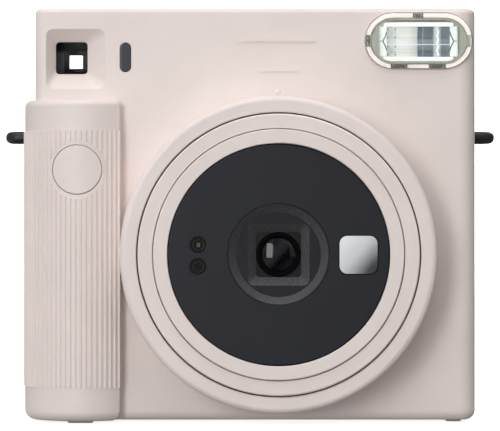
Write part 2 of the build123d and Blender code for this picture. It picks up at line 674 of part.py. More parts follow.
with BuildPart() as door_latch:
    block(
        (LATCH_X - LATCH_BUTTON_WIDTH / 2, LATCH_X + LATCH_BUTTON_WIDTH / 2),
        (LATCH_BUTTON_FRONT, BODY_BACK),
        (LATCH_Z - LATCH_BUTTON_HEIGHT / 2, LATCH_Z + LATCH_BUTTON_HEIGHT / 2),
    )
    fillet(door_latch.edges().filter_by(Axis.Y), LATCH_CORNER)
    groove_half_height = LATCH_BUTTON_HEIGHT / 2 - LATCH_GROOVE_MARGIN
    for offset in LATCH_GROOVES:
        block(
            (LATCH_X + offset - LATCH_GROOVE_WIDTH / 2, LATCH_X + offset + LATCH_GROOVE_WIDTH / 2),
            (BODY_BACK - LATCH_GROOVE_DEPTH, BODY_BACK + PAST),
            (LATCH_Z - groove_half_height, LATCH_Z + groove_half_height),
            mode=Mode.SUBTRACT,
        )
    # The stem runs through the wall to the bolt behind it.
    block(
        (LATCH_X - LATCH_STEM_HALF_WIDTH, LATCH_X + LATCH_STEM_HALF_WIDTH),
        (LATCH_BOLT_FRONT, LATCH_BUTTON_FRONT + SNUG),
        (LATCH_Z - LATCH_STEM_HEIGHT / 2, LATCH_Z + LATCH_STEM_HEIGHT / 2),
    )
    block(
        (LATCH_BOLT_LEFT, LATCH_BOLT_RIGHT),
        (LATCH_BOLT_FRONT, LATCH_BOLT_BACK),
        (LATCH_Z - LATCH_BOLT_HEIGHT / 2, LATCH_Z + LATCH_BOLT_HEIGHT / 2),
    )

save(door_latch, "door_latch")

# ------------------------------------------------------------------ battery door and batteries
BATTERY_KNUCKLE_BOTTOM = BATTERY_DOOR_BOTTOM + BATTERY_KNUCKLE_MARGIN
BATTERY_KNUCKLE_TOP = BATTERY_DOOR_TOP - BATTERY_KNUCKLE_MARGIN
BATTERY_DOOR_ARM_FRONT = 15.0  # where the narrower part that carries the knuckle begins
THUMB_GROOVES = 5
THUMB_GROOVE_OFFSET = 2.0
THUMB_GROOVE_PITCH = 1.2
THUMB_GROOVE_WIDTH = 0.5
THUMB_GROOVE_DEPTH = 0.35
THUMB_GROOVE_SPAN = (36.0, 48.0)
HOLDER_WALL = 1.2
CELL_BOTTOM = 15.0
CELL_LENGTH = 25.5
CELL_PITCH = 27.2
HOLDER_BOTTOM = 13.4
HOLDER_TOP = 70.7
HOLDER_MOUTH = BATTERY_X - 3.0
HOLDER_LEFT = GRIP_LEFT + WALL + 0.5
CELL_TIP_RADIUS = 3.2
CELL_TIP_HEIGHT = 1.5
CELL_EDGE = 0.6
CONTACT_SPRING_BASE = 6.0
CONTACT_SPRING_TOP = 3.0
CONTACT_PLATE_RADIUS = 5.0
CONTACT_PLATE_BOTTOM = HOLDER_TOP - 0.7

with BuildPart() as battery_door:
    block(
        (GRIP_LEFT, BATTERY_AXIS_X),
        (BATTERY_DOOR_FRONT, BATTERY_AXIS_Y - BATTERY_KNUCKLE_RADIUS - MOVING_GAP),
        (BATTERY_DOOR_BOTTOM, BATTERY_DOOR_TOP),
    )
    block(
        (GRIP_LEFT, BATTERY_AXIS_X),
        (BATTERY_DOOR_ARM_FRONT, BATTERY_AXIS_Y),
        (BATTERY_KNUCKLE_BOTTOM, BATTERY_KNUCKLE_TOP),
    )
    rod_along_z(
        BATTERY_AXIS_X, BATTERY_AXIS_Y, BATTERY_KNUCKLE_RADIUS, BATTERY_KNUCKLE_BOTTOM, BATTERY_KNUCKLE_TOP
    )
    rod_along_z(
        BATTERY_AXIS_X,
        BATTERY_AXIS_Y,
        BATTERY_PIN_RADIUS + PIN_GAP,
        BATTERY_KNUCKLE_BOTTOM,
        BATTERY_KNUCKLE_TOP,
        mode=Mode.SUBTRACT,
    )
    # Grooves for the thumb near the free edge.
    for index in range(THUMB_GROOVES):
        y = BATTERY_DOOR_FRONT + THUMB_GROOVE_OFFSET + index * THUMB_GROOVE_PITCH
        block(
            (GRIP_LEFT - PAST, GRIP_LEFT + THUMB_GROOVE_DEPTH),
            (y, y + THUMB_GROOVE_WIDTH),
            THUMB_GROOVE_SPAN,
            mode=Mode.SUBTRACT,
        )

save(battery_door, "battery_door")

with BuildPart() as battery_hinge_pin:
    rod_along_z(
        BATTERY_AXIS_X,
        BATTERY_AXIS_Y,
        BATTERY_PIN_RADIUS,
        BATTERY_DOOR_BOTTOM + SNUG,
        BATTERY_DOOR_TOP - SNUG,
    )

save(battery_hinge_pin, "battery_hinge_pin")

with BuildPart() as battery_holder:
    bore = BATTERY_RADIUS + MOVING_GAP
    holder_radius = bore + HOLDER_WALL
    rod_along_z(BATTERY_X, BATTERY_Y, holder_radius, HOLDER_BOTTOM - HOLDER_WALL, HOLDER_TOP + HOLDER_WALL)
    rod_along_z(BATTERY_X, BATTERY_Y, bore, HOLDER_BOTTOM, HOLDER_TOP, mode=Mode.SUBTRACT)
    # Open on the side of the door, and cut flat beside the casing's wall.
    block((-FAR, HOLDER_MOUTH), (-FAR, FAR), (HOLDER_BOTTOM, HOLDER_TOP), mode=Mode.SUBTRACT)
    block((-FAR, HOLDER_LEFT), (-FAR, FAR), (-FAR, FAR), mode=Mode.SUBTRACT)

save(battery_holder, "battery_holder")

with BuildPart() as batteries:
    for index in range(2):
        bottom = CELL_BOTTOM + index * CELL_PITCH
        rod_along_z(BATTERY_X, BATTERY_Y, BATTERY_RADIUS, bottom, bottom + CELL_LENGTH)
        top = bottom + CELL_LENGTH
        rod_along_z(BATTERY_X, BATTERY_Y, CELL_TIP_RADIUS, top, top + CELL_TIP_HEIGHT)
    round_edges = batteries.edges().filter_by(GeomType.CIRCLE)
    fillet(round_edges.filter_by(lambda edge: edge.radius > CELL_TIP_RADIUS), CELL_EDGE)

save(batteries, "batteries")

with BuildPart() as battery_contacts:
    with Locations((BATTERY_X, BATTERY_Y, (HOLDER_BOTTOM + CELL_BOTTOM) / 2)):
        Cone(CONTACT_SPRING_BASE, CONTACT_SPRING_TOP, CELL_BOTTOM - HOLDER_BOTTOM - 2 * SNUG)
    rod_along_z(BATTERY_X, BATTERY_Y, CONTACT_PLATE_RADIUS, CONTACT_PLATE_BOTTOM, HOLDER_TOP - SNUG)

save(battery_contacts, "battery_contacts")

# ------------------------------------------------------------------ electronics
BOARD_LEFT = -42.6
BOARD_RIGHT = -41.4
BOARD_DEPTH = (-2.5, 23.0)
BOARD_HEIGHT = (10.0, 84.0)
CHIP_RIGHT = -40.0
CHIPS = [  # y, z, width and height
    (4.0, 70.0, 8.0, 8.0),
    (14.0, 52.0, 6.0, 10.0),
    (6.0, 30.0, 5.0, 5.0),
]
CAPACITOR_X = -49.5
CAPACITOR_Y = -9.3
CAPACITOR_RADIUS = 5.9
CAPACITOR_EDGE = 0.8
CAPACITOR_SPAN = (16.0, 54.0)

with BuildPart() as main_board:
    block((BOARD_LEFT, BOARD_RIGHT), BOARD_DEPTH, BOARD_HEIGHT)
    for y, z, width, height in CHIPS:
        block((BOARD_RIGHT, CHIP_RIGHT), (y - width / 2, y + width / 2), (z - height / 2, z + height / 2))

save(main_board, "main_board")

with BuildPart() as flash_capacitor:
    rod_along_z(CAPACITOR_X, CAPACITOR_Y, CAPACITOR_RADIUS, *CAPACITOR_SPAN)
    fillet(flash_capacitor.edges().filter_by(GeomType.CIRCLE), CAPACITOR_EDGE)

save(flash_capacitor, "flash_capacitor")

# ------------------------------------------------------------------ shutter button, its spring and its switch
BUTTON_FLANGE_FRONT = -13.7
BUTTON_FLANGE_BACK = -12.7
BUTTON_STEM_END = -9.4
BUTTON_STEM_RADIUS = 1.6
BUTTON_FLANGE = 0.9
BUTTON_EDGE = 0.25
SPRING_COIL_RADIUS = 3.2
SPRING_WIRE_RADIUS = 0.22
SPRING_PITCH = 0.9
SPRING_LENGTH = 2.7
SWITCH_FRONT = -7.9
SWITCH_BACK = -4.2
SWITCH_SIZE = 6.4
SWITCH_BOARD_SIZE = 11.0
SWITCH_BOARD_BACK = -3.2

with BuildPart() as shutter_button:
    # Its face is a round piece of the grip's own surface.
    add(grip_block.part)
    rod_along_y(BUTTON_X, BUTTON_Z, BUTTON_RADIUS, -FAR, BUTTON_FLANGE_FRONT, mode=Mode.INTERSECT)
    fillet(shutter_button.faces().sort_by(Axis.Y)[0].edges(), BUTTON_EDGE)
    rod_along_y(BUTTON_X, BUTTON_Z, BUTTON_RADIUS + BUTTON_FLANGE, BUTTON_FLANGE_FRONT, BUTTON_FLANGE_BACK)
    rod_along_y(BUTTON_X, BUTTON_Z, BUTTON_STEM_RADIUS, BUTTON_FLANGE_BACK, BUTTON_STEM_END)

save(shutter_button, "shutter_button")

with BuildPart() as button_spring:
    with BuildLine() as spring_path:
        Helix(
            pitch=SPRING_PITCH,
            height=SPRING_LENGTH,
            radius=SPRING_COIL_RADIUS,
            center=(BUTTON_X, BUTTON_FLANGE_BACK + SPRING_WIRE_RADIUS + 2 * SNUG, BUTTON_Z),
            direction=(0, 1, 0),
        )
    with BuildSketch(Plane(origin=spring_path.line @ 0, z_dir=spring_path.line % 0)):
        Circle(SPRING_WIRE_RADIUS)
    sweep()

save(button_spring, "button_spring")

with BuildPart() as button_switch:
    for size, front, back in (
        (SWITCH_SIZE, SWITCH_FRONT, SWITCH_BACK),
        (SWITCH_BOARD_SIZE, SWITCH_BACK, SWITCH_BOARD_BACK),
    ):
        block(
            (BUTTON_X - size / 2, BUTTON_X + size / 2),
            (front, back),
            (BUTTON_Z - size / 2, BUTTON_Z + size / 2),
        )

save(button_switch, "button_switch")


# ------------------------------------------------------------------ lens barrel
SLEEVE_FLANGE_RADIUS = 44.6
SLEEVE_FLANGE = 1.45
RING_EDGE = 1.6
RING_INNER_EDGE = 0.4
RING_BACK_EDGE = 0.3
OUTER_TIER_BACK = -11.2
OUTER_TIER_LIP = 1.6
INNER_TIER_BACK = -11.7
INNER_TIER_LIP = 2.0
INNER_TIER_GUIDE = -13.7  # the guide collar at its back begins here
FACE_SEAT = FACE_RADIUS + 0.15

with BuildPart() as barrel_sleeve:
    flange_front = BODY_FRONT + WALL + SNUG
    with BuildSketch(BARREL_SECTION):
        section(SLEEVE_INNER, SLEEVE_OUTER, RING_FRONT + RING_LIP + MOVING_GAP, flange_front)
        section(SLEEVE_INNER, SLEEVE_FLANGE_RADIUS, flange_front, flange_front + SLEEVE_FLANGE)
    revolve(axis=LENS_AXIS)

save(barrel_sleeve, "barrel_sleeve")

with BuildPart() as mode_ring:
    with BuildSketch(BARREL_SECTION) as ring_section:
        section(SLEEVE_OUTER + SLIDE_GAP, RING_RADIUS, RING_FRONT, BODY_FRONT - MOVING_GAP)
        section(RING_INNER, RING_RADIUS, RING_FRONT, RING_FRONT + RING_LIP)
        fillet(section_corners(ring_section, (RING_RADIUS, RING_FRONT)), RING_EDGE)
        fillet(section_corners(ring_section, (RING_INNER, RING_FRONT)), RING_INNER_EDGE)
        fillet(section_corners(ring_section, (RING_RADIUS, BODY_FRONT - MOVING_GAP)), RING_BACK_EDGE)
    revolve(axis=LENS_AXIS)

save(mode_ring, "mode_ring")

OUTER_TIER_EDGE = 0.45
INNER_EDGE = 0.3
SEAT_EDGE = 0.25

with BuildPart() as outer_tier:
    with BuildSketch(BARREL_SECTION) as tier_section:
        section(OUTER_TIER_RADIUS - TIER_WALL, OUTER_TIER_RADIUS, OUTER_TIER_FRONT, OUTER_TIER_BACK)
        section(OUTER_TIER_INNER, OUTER_TIER_RADIUS, OUTER_TIER_FRONT, OUTER_TIER_FRONT + OUTER_TIER_LIP)
        fillet(section_corners(tier_section, (OUTER_TIER_RADIUS, OUTER_TIER_FRONT)), OUTER_TIER_EDGE)
        fillet(section_corners(tier_section, (OUTER_TIER_INNER, OUTER_TIER_FRONT)), INNER_EDGE)
    revolve(axis=LENS_AXIS)

save(outer_tier, "outer_tier")

with BuildPart() as inner_tier:
    with BuildSketch(BARREL_SECTION) as tier_section:
        tier_bore = INNER_TIER_RADIUS - TIER_WALL
        guide_radius = OUTER_TIER_RADIUS - TIER_WALL - SLIDE_GAP
        section(tier_bore, INNER_TIER_RADIUS, INNER_TIER_FRONT, INNER_TIER_BACK)
        section(FACE_SEAT, INNER_TIER_RADIUS, INNER_TIER_FRONT, INNER_TIER_FRONT + INNER_TIER_LIP)
        section(tier_bore, guide_radius, INNER_TIER_GUIDE, INNER_TIER_BACK)
        fillet(section_corners(tier_section, (INNER_TIER_RADIUS, INNER_TIER_FRONT)), INNER_EDGE)
        fillet(section_corners(tier_section, (FACE_SEAT, INNER_TIER_FRONT)), SEAT_EDGE)
    revolve(axis=LENS_AXIS)

save(inner_tier, "inner_tier")

# ------------------------------------------------------------------ what the inner tier carries
FACE_BACK = -26.45
HOOD_RADIUS = 14.4
HOOD_RIM = 14.0
HOOD_FLOOR_RADIUS = 12.0
HOOD_FLOOR = -25.9
HOOD_BOTTOM = -22.95
HOOD_BACK = -21.5
FUNNEL_OUTER = 17.5
FUNNEL_INNER = 12.8
FUNNEL_OUTER_CORNER = 1.9
FUNNEL_INNER_CORNER = 1.0
HOOD_SUNK = 0.05  # how far the hood's rim sits behind the face
HOOD_FLANGE_WIDTH = 2.0
HOOD_FLANGE_THICKNESS = 1.2
FACE_EDGE = 0.4
FACE_HOLE_EDGE = 0.15
LENS_BORE = 6.4
SENSOR_X = -14.6
LIGHT_SENSOR_Z = 51.35
RANGE_SENSOR_Z = 45.2
SENSOR_RADIUS = 2.56
MIRROR_X = 30.65
MIRROR_SIZE = 10.7
MIRROR_POCKET_SIZE = 11.2
MIRROR_POCKET_CORNER = 2.4
MIRROR_CORNER = 2.2
MIRROR_CURVE = 60.0
MIRROR_PROUD = 0.15

with BuildPart() as face_plate:
    with BuildSketch(BARREL_SECTION) as plate_section:
        section(HOOD_RADIUS + SNUG, FACE_RADIUS, FACE_FRONT, FACE_BACK)
        fillet(section_corners(plate_section, (FACE_RADIUS, FACE_FRONT)), FACE_EDGE)
        fillet(section_corners(plate_section, (HOOD_RADIUS + SNUG, FACE_FRONT)), FACE_HOLE_EDGE)
    revolve(axis=LENS_AXIS)
    for z in (LIGHT_SENSOR_Z, RANGE_SENSOR_Z):
        rod_along_y(SENSOR_X, z, SENSOR_RADIUS, FACE_FRONT - 1, FACE_BACK, mode=Mode.SUBTRACT)
    with BuildSketch(facing_front(FACE_FRONT - 1)):
        with Locations((MIRROR_X, LENS_Z)):
            RectangleRounded(MIRROR_POCKET_SIZE, MIRROR_POCKET_SIZE, MIRROR_POCKET_CORNER)
    extrude(amount=-FAR, mode=Mode.SUBTRACT)

save(face_plate, "face_plate")

with BuildPart() as lens_hood:
    with BuildSketch(BARREL_SECTION):
        with BuildLine():
            Polyline(
                (0, HOOD_BACK),
                (0, HOOD_FLOOR),
                (HOOD_FLOOR_RADIUS, HOOD_FLOOR),
                (HOOD_RIM, FACE_FRONT + HOOD_SUNK),
                (HOOD_RADIUS, FACE_FRONT + HOOD_SUNK),
                (HOOD_RADIUS, FACE_BACK + SNUG),
                (HOOD_RADIUS + HOOD_FLANGE_WIDTH, FACE_BACK + SNUG),
                (HOOD_RADIUS + HOOD_FLANGE_WIDTH, FACE_BACK + HOOD_FLANGE_THICKNESS),
                (HOOD_RADIUS, FACE_BACK + HOOD_FLANGE_THICKNESS),
                (HOOD_RADIUS, HOOD_BACK),
                close=True,
            )
        make_face()
    revolve(axis=LENS_AXIS)
    with BuildSketch(facing_front(HOOD_FLOOR, LENS_X, LENS_Z)):
        RectangleRounded(FUNNEL_OUTER, FUNNEL_OUTER, FUNNEL_OUTER_CORNER)
    with BuildSketch(facing_front(HOOD_BOTTOM, LENS_X, LENS_Z)):
        RectangleRounded(FUNNEL_INNER, FUNNEL_INNER, FUNNEL_INNER_CORNER)
    loft(mode=Mode.SUBTRACT)
    rod_along_y(LENS_X, LENS_Z, LENS_BORE, HOOD_BOTTOM - 1, HOOD_BACK, mode=Mode.SUBTRACT)

save(lens_hood, "lens_hood")

LENS_RADIUS = 5.7
LENS_VERTEX = -23.35
LENS_CURVE = 13.15
FRONT_ELEMENT_BACK = -19.3
REAR_ELEMENT_FRONT = -17.7
REAR_ELEMENT_BACK = -14.6
REAR_CURVE = 16.0
REAR_VERTEX = -14.8
CELL_NOSE = (-22.35, -21.3)
CELL_BARREL_RADIUS = 8.2
CELL_BACK = -14.25
SPACER_BORE = 4.2
SPACER = (-19.2, -17.8)
RETAINER_BORE = 4.9
RETAINER_FRONT = -23.3
RETAINER_BACK = -22.4
RETAINER_CHAMFER = 0.5
RETAINER_EDGE = 0.2

with BuildPart() as lens_cell:
    with BuildSketch(BARREL_SECTION):
        section(LENS_RADIUS + SNUG, LENS_BORE - SNUG, *CELL_NOSE)
        section(LENS_RADIUS + SNUG, CELL_BARREL_RADIUS, HOOD_BACK + SNUG, CELL_BACK)
        section(SPACER_BORE, LENS_RADIUS + 1, *SPACER)
    revolve(axis=LENS_AXIS)

save(lens_cell, "lens_cell")

with BuildPart() as lens_retaining_ring:
    with BuildSketch(BARREL_SECTION) as ring_section:
        section(RETAINER_BORE, LENS_BORE - SNUG, RETAINER_FRONT, RETAINER_BACK)
        chamfer(section_corners(ring_section, (RETAINER_BORE, RETAINER_FRONT)), RETAINER_CHAMFER)
        fillet(section_corners(ring_section, (LENS_BORE - SNUG, RETAINER_FRONT)), RETAINER_EDGE)
    revolve(axis=LENS_AXIS)

save(lens_retaining_ring, "lens_retaining_ring")

with BuildPart() as lens_front_element:
    rod_along_y(LENS_X, LENS_Z, LENS_RADIUS, LENS_VERTEX - 1, FRONT_ELEMENT_BACK)
    with Locations((LENS_X, LENS_VERTEX + LENS_CURVE, LENS_Z)):
        Sphere(LENS_CURVE, mode=Mode.INTERSECT)

save(lens_front_element, "lens_front_element")

with BuildPart() as lens_rear_element:
    rod_along_y(LENS_X, LENS_Z, LENS_RADIUS, REAR_ELEMENT_FRONT, REAR_ELEMENT_BACK)
    with Locations((LENS_X, REAR_VERTEX - REAR_CURVE, LENS_Z)):
        Sphere(REAR_CURVE, mode=Mode.INTERSECT)

save(lens_rear_element, "lens_rear_element")

BLADE_PIVOT_X = 8.5
BLADE_PIVOT_Z = -6.0
APERTURE = 3.0
PLATE_FRONT = -14.2
PLATE_BACK = -12.8
PIVOT_RADIUS = 0.8
PIVOT_BACK = -11.0
BLADE_THICKNESS = 0.35
BLADE_BOSS_RADIUS = 1.6
BLADE_PADDLE_RADIUS = 3.7
LEFT_BLADE_FRONT = -12.5
RIGHT_BLADE_FRONT = -11.85

with BuildPart() as shutter_plate:
    rod_along_y(LENS_X, LENS_Z, INNER_TIER_RADIUS - TIER_WALL - SNUG, PLATE_FRONT, PLATE_BACK)
    rod_along_y(LENS_X, LENS_Z, APERTURE, PLATE_FRONT - PAST, PLATE_BACK + PAST, mode=Mode.SUBTRACT)
    for pivot_x in (LENS_X - BLADE_PIVOT_X, LENS_X + BLADE_PIVOT_X):
        rod_along_y(pivot_x, LENS_Z + BLADE_PIVOT_Z, PIVOT_RADIUS, PLATE_BACK, PIVOT_BACK)

save(shutter_plate, "shutter_plate")


def shutter_blade(side, front):
    """A thin paddle over the aperture, with a link down to its pivot."""
    with BuildPart() as blade:
        with BuildSketch(facing_front(front, LENS_X, LENS_Z)):
            with Locations((side * BLADE_PIVOT_X, BLADE_PIVOT_Z)):
                Circle(BLADE_BOSS_RADIUS)
            Circle(BLADE_PADDLE_RADIUS)
            make_hull()
            with Locations((side * BLADE_PIVOT_X, BLADE_PIVOT_Z)):
                Circle(PIVOT_RADIUS + PIN_GAP, mode=Mode.SUBTRACT)
        extrude(amount=-BLADE_THICKNESS)
    return blade


shutter_blade_left = shutter_blade(-1, LEFT_BLADE_FRONT)
save(shutter_blade_left, "shutter_blade_left")
shutter_blade_right = shutter_blade(1, RIGHT_BLADE_FRONT)
save(shutter_blade_right, "shutter_blade_right")

with BuildPart() as selfie_mirror:
    with BuildSketch(facing_front(FACE_FRONT - 1)):
        with Locations((MIRROR_X, LENS_Z)):
            RectangleRounded(MIRROR_SIZE, MIRROR_SIZE, MIRROR_CORNER)
    extrude(amount=-(FACE_BACK - FACE_FRONT + 1))
    with Locations((MIRROR_X, FACE_FRONT - MIRROR_PROUD + MIRROR_CURVE, LENS_Z)):
        Sphere(MIRROR_CURVE, mode=Mode.INTERSECT)

save(selfie_mirror, "selfie_mirror")

SENSOR_SUNK = 0.6
SENSOR_STEP_RADIUS = 1.8
SENSOR_STEP_DEPTH = 1.1
SENSOR_WELL_RADIUS = 1.25
SENSOR_FLOOR = 0.4  # thickness of the floor under the chip
CHIP_WIDTH = 1.0
CHIP_HEIGHT = 1.2
CHIP_FRONT = FACE_BACK - 0.75
RANGE_SENSOR_SUNK = 1.0

with BuildPart() as light_sensor_ring:
    rod_along_y(SENSOR_X, LIGHT_SENSOR_Z, SENSOR_RADIUS - SNUG, FACE_FRONT + SENSOR_SUNK, FACE_BACK)
    for radius, back in (
        (SENSOR_STEP_RADIUS, FACE_FRONT + SENSOR_STEP_DEPTH),
        (SENSOR_WELL_RADIUS, FACE_BACK - SENSOR_FLOOR),
    ):
        rod_along_y(SENSOR_X, LIGHT_SENSOR_Z, radius, FACE_FRONT, back, mode=Mode.SUBTRACT)

save(light_sensor_ring, "light_sensor_ring")

with BuildPart() as light_sensor_chip:
    block(
        (SENSOR_X - CHIP_WIDTH / 2, SENSOR_X + CHIP_WIDTH / 2),
        (CHIP_FRONT, FACE_BACK - SENSOR_FLOOR - SNUG),
        (LIGHT_SENSOR_Z - CHIP_HEIGHT / 2, LIGHT_SENSOR_Z + CHIP_HEIGHT / 2),
    )

save(light_sensor_chip, "light_sensor_chip")

with BuildPart() as range_sensor_window:
    rod_along_y(SENSOR_X, RANGE_SENSOR_Z, SENSOR_RADIUS - SNUG, FACE_FRONT + RANGE_SENSOR_SUNK, FACE_BACK)

save(range_sensor_window, "range_sensor_window")

# ------------------------------------------------------------------ flash
FLASH_COVER_FRONT = -12.8
FLASH_COVER_EDGE = 0.85
FLASH_COVER_RIM = 0.25
FLASH_RECESS_FRONT = -12.2
FLASH_CLIP_FRONT = -12.05
FLASH_CLIP_BACK = -11.65
FLASH_CLIPS = [  # left, right, bottom and top of each clip that holds the cover
    (46.8, 49.8, 116.0, 118.5),
    (33.0, 35.5, 108.2, 111.6),
    (61.5, 64.0, 108.2, 111.6),
    (40.5, 45.3, 101.5, 104.0),
    (51.4, 56.3, 101.5, 104.0),
]
FLASH_FRAME_BACK = -9.3
FLASH_FRAME_WALL = 0.6
FLASH_FRAME_WINDOW = 23.4
REFLECTOR_LEFT = 37.2
REFLECTOR_RIGHT = 59.8
REFLECTOR_FRONT = -9.2
REFLECTOR_BACK = -4.6
REFLECTOR_BOTTOM = 103.9
REFLECTOR_TOP = 115.4
REFLECTOR_SHEET = 0.4
REFLECTOR_VERTEX_Z = FLASH_Z - 0.3
TUBE_Y = -7.0
TUBE_Z = FLASH_Z - 0.9
TUBE_RADIUS = 1.4
TUBE_EDGE = 0.5
TUBE_END = 1.5  # how far the tube stands out of each end of the reflector

with BuildPart() as flash_window:
    cover_back = FLASH_BOSS_FRONT - SNUG
    cover_width = FLASH_WIDTH - 4 * SNUG
    cover_height = FLASH_HEIGHT - 4 * SNUG
    with BuildSketch(facing_front(cover_back)):
        with Locations((FLASH_X, FLASH_Z)):
            SlotOverall(cover_width, cover_height)
    extrude(amount=cover_back - FLASH_COVER_FRONT)
    fillet(flash_window.faces().sort_by(Axis.Y)[0].edges(), FLASH_COVER_EDGE)
    with BuildSketch(facing_front(FLASH_RECESS_FRONT)):
        with Locations((FLASH_X, FLASH_Z)):
            SlotOverall(cover_width - 2 * FLASH_COVER_RIM, cover_height - 2 * FLASH_COVER_RIM)
    extrude(amount=-FAR, mode=Mode.SUBTRACT)

save(flash_window, "flash_window")

with BuildPart() as flash_frame:
    frame_width = FLASH_OPENING_WIDTH - MOVING_GAP
    frame_height = FLASH_OPENING_HEIGHT - MOVING_GAP
    with BuildSketch(facing_front(FLASH_CLIP_FRONT)):
        with Locations((FLASH_X, FLASH_Z)):
            SlotOverall(frame_width, frame_height)
    extrude(amount=FLASH_CLIP_FRONT - FLASH_FRAME_BACK)
    # Its window is a little wider than the reflector, with round corners.
    with BuildSketch(facing_front(FLASH_CLIP_FRONT - PAST)):
        with Locations((FLASH_X, FLASH_Z)):
            SlotOverall(frame_width - 2 * FLASH_FRAME_WALL, frame_height - 2 * FLASH_FRAME_WALL)
            Rectangle(FLASH_FRAME_WINDOW, FLASH_HEIGHT, mode=Mode.INTERSECT)
    extrude(amount=-FAR, mode=Mode.SUBTRACT)
    # Clips over the edge of the opening, inside the cover's rim.
    clip_room = 2 * FLASH_COVER_RIM + 6 * SNUG
    with BuildSketch(facing_front(FLASH_CLIP_FRONT)) as clips:
        for left, right, bottom, top in FLASH_CLIPS:
            with Locations(((left + right) / 2, (bottom + top) / 2)):
                Rectangle(right - left, top - bottom)
        with Locations((FLASH_X, FLASH_Z)):
            SlotOverall(FLASH_WIDTH - clip_room, FLASH_HEIGHT - clip_room, mode=Mode.INTERSECT)
            SlotOverall(frame_width - FLASH_FRAME_WALL, frame_height - FLASH_FRAME_WALL, mode=Mode.SUBTRACT)
    extrude(amount=FLASH_CLIP_FRONT - FLASH_CLIP_BACK)

save(flash_frame, "flash_frame")

with BuildPart() as flash_reflector:
    with BuildSketch(facing_right(REFLECTOR_LEFT)):
        with BuildLine():
            ThreePointArc(
                (REFLECTOR_FRONT, REFLECTOR_BOTTOM),
                (REFLECTOR_BACK, REFLECTOR_VERTEX_Z),
                (REFLECTOR_FRONT, REFLECTOR_TOP),
            )
            Line((REFLECTOR_FRONT, REFLECTOR_TOP), (REFLECTOR_FRONT, REFLECTOR_BOTTOM))
        make_face()
    extrude(amount=REFLECTOR_RIGHT - REFLECTOR_LEFT)
    with BuildSketch(facing_right(REFLECTOR_LEFT + REFLECTOR_SHEET)):
        with BuildLine():
            ThreePointArc(
                (REFLECTOR_FRONT - PAST, REFLECTOR_BOTTOM + REFLECTOR_SHEET),
                (REFLECTOR_BACK - REFLECTOR_SHEET, REFLECTOR_VERTEX_Z),
                (REFLECTOR_FRONT - PAST, REFLECTOR_TOP - REFLECTOR_SHEET),
            )
            Line(
                (REFLECTOR_FRONT - PAST, REFLECTOR_TOP - REFLECTOR_SHEET),
                (REFLECTOR_FRONT - PAST, REFLECTOR_BOTTOM + REFLECTOR_SHEET),
            )
        make_face()
    extrude(amount=REFLECTOR_RIGHT - REFLECTOR_LEFT - 2 * REFLECTOR_SHEET, mode=Mode.SUBTRACT)
    rod_along_x(TUBE_Y, TUBE_Z, TUBE_RADIUS + SNUG, -FAR, FAR, mode=Mode.SUBTRACT)

save(flash_reflector, "flash_reflector")

with BuildPart() as flash_tube:
    rod_along_x(TUBE_Y, TUBE_Z, TUBE_RADIUS, REFLECTOR_LEFT - TUBE_END, REFLECTOR_RIGHT + TUBE_END)
    fillet(flash_tube.edges().filter_by(GeomType.CIRCLE), TUBE_EDGE)

save(flash_tube, "flash_tube")

with BuildPart() as flash_sensor_window:
    with BuildSketch(facing_front(BODY_FRONT + 0.05)):
        with Locations((SENSOR_WINDOW_X, SENSOR_WINDOW_Z)):
            SlotOverall(SENSOR_WINDOW_HEIGHT - 0.2, SENSOR_WINDOW_WIDTH - 0.2, rotation=90)
    extrude(amount=-1.3)
    fillet(flash_sensor_window.faces().sort_by(Axis.Y)[0].edges(), 0.3)

save(flash_sensor_window, "flash_sensor_window")

# ------------------------------------------------------------------ viewfinder
TUBE_WALL = 1.2
FINDER_CURVE = 20.0
FINDER_LENS_FRONT = FUNNEL_BACK + 0.1
FINDER_LENS_BACK = FINDER_LENS_FRONT + 3.7
FINDER_LENS_MARGIN = 0.3  # the front lens is this much larger than its window all round
FINDER_LENS_DISH = 1.25  # how deep each face of it is hollowed
EYE_STOP = 5.5
FINDER_TUBE_HALF_WIDTH = 6.2
FINDER_TUBE_HALF_HEIGHT = 6.3
FINDER_TUBE_BACK = BODY_BACK - WALL - 1.5
FINDER_SEAT_GAP = 0.05
EYEPIECE_SUNK = 0.9

with BuildPart() as viewfinder_front_lens:
    with BuildSketch(facing_front(FINDER_LENS_FRONT)):
        with Locations((VIEWFINDER_X, VIEWFINDER_Z)):
            RectangleRounded(
                VIEWFINDER_WIDTH + 2 * FINDER_LENS_MARGIN,
                VIEWFINDER_HEIGHT + 2 * FINDER_LENS_MARGIN,
                FINDER_CORNER,
            )
    extrude(amount=FINDER_LENS_FRONT - FINDER_LENS_BACK)
    with Locations(
        (VIEWFINDER_X, FINDER_LENS_FRONT + FINDER_LENS_DISH - FINDER_CURVE, VIEWFINDER_Z),
        (VIEWFINDER_X, FINDER_LENS_BACK - FINDER_LENS_DISH + FINDER_CURVE, VIEWFINDER_Z),
    ):
        Sphere(FINDER_CURVE, mode=Mode.SUBTRACT)

save(viewfinder_front_lens, "viewfinder_front_lens")

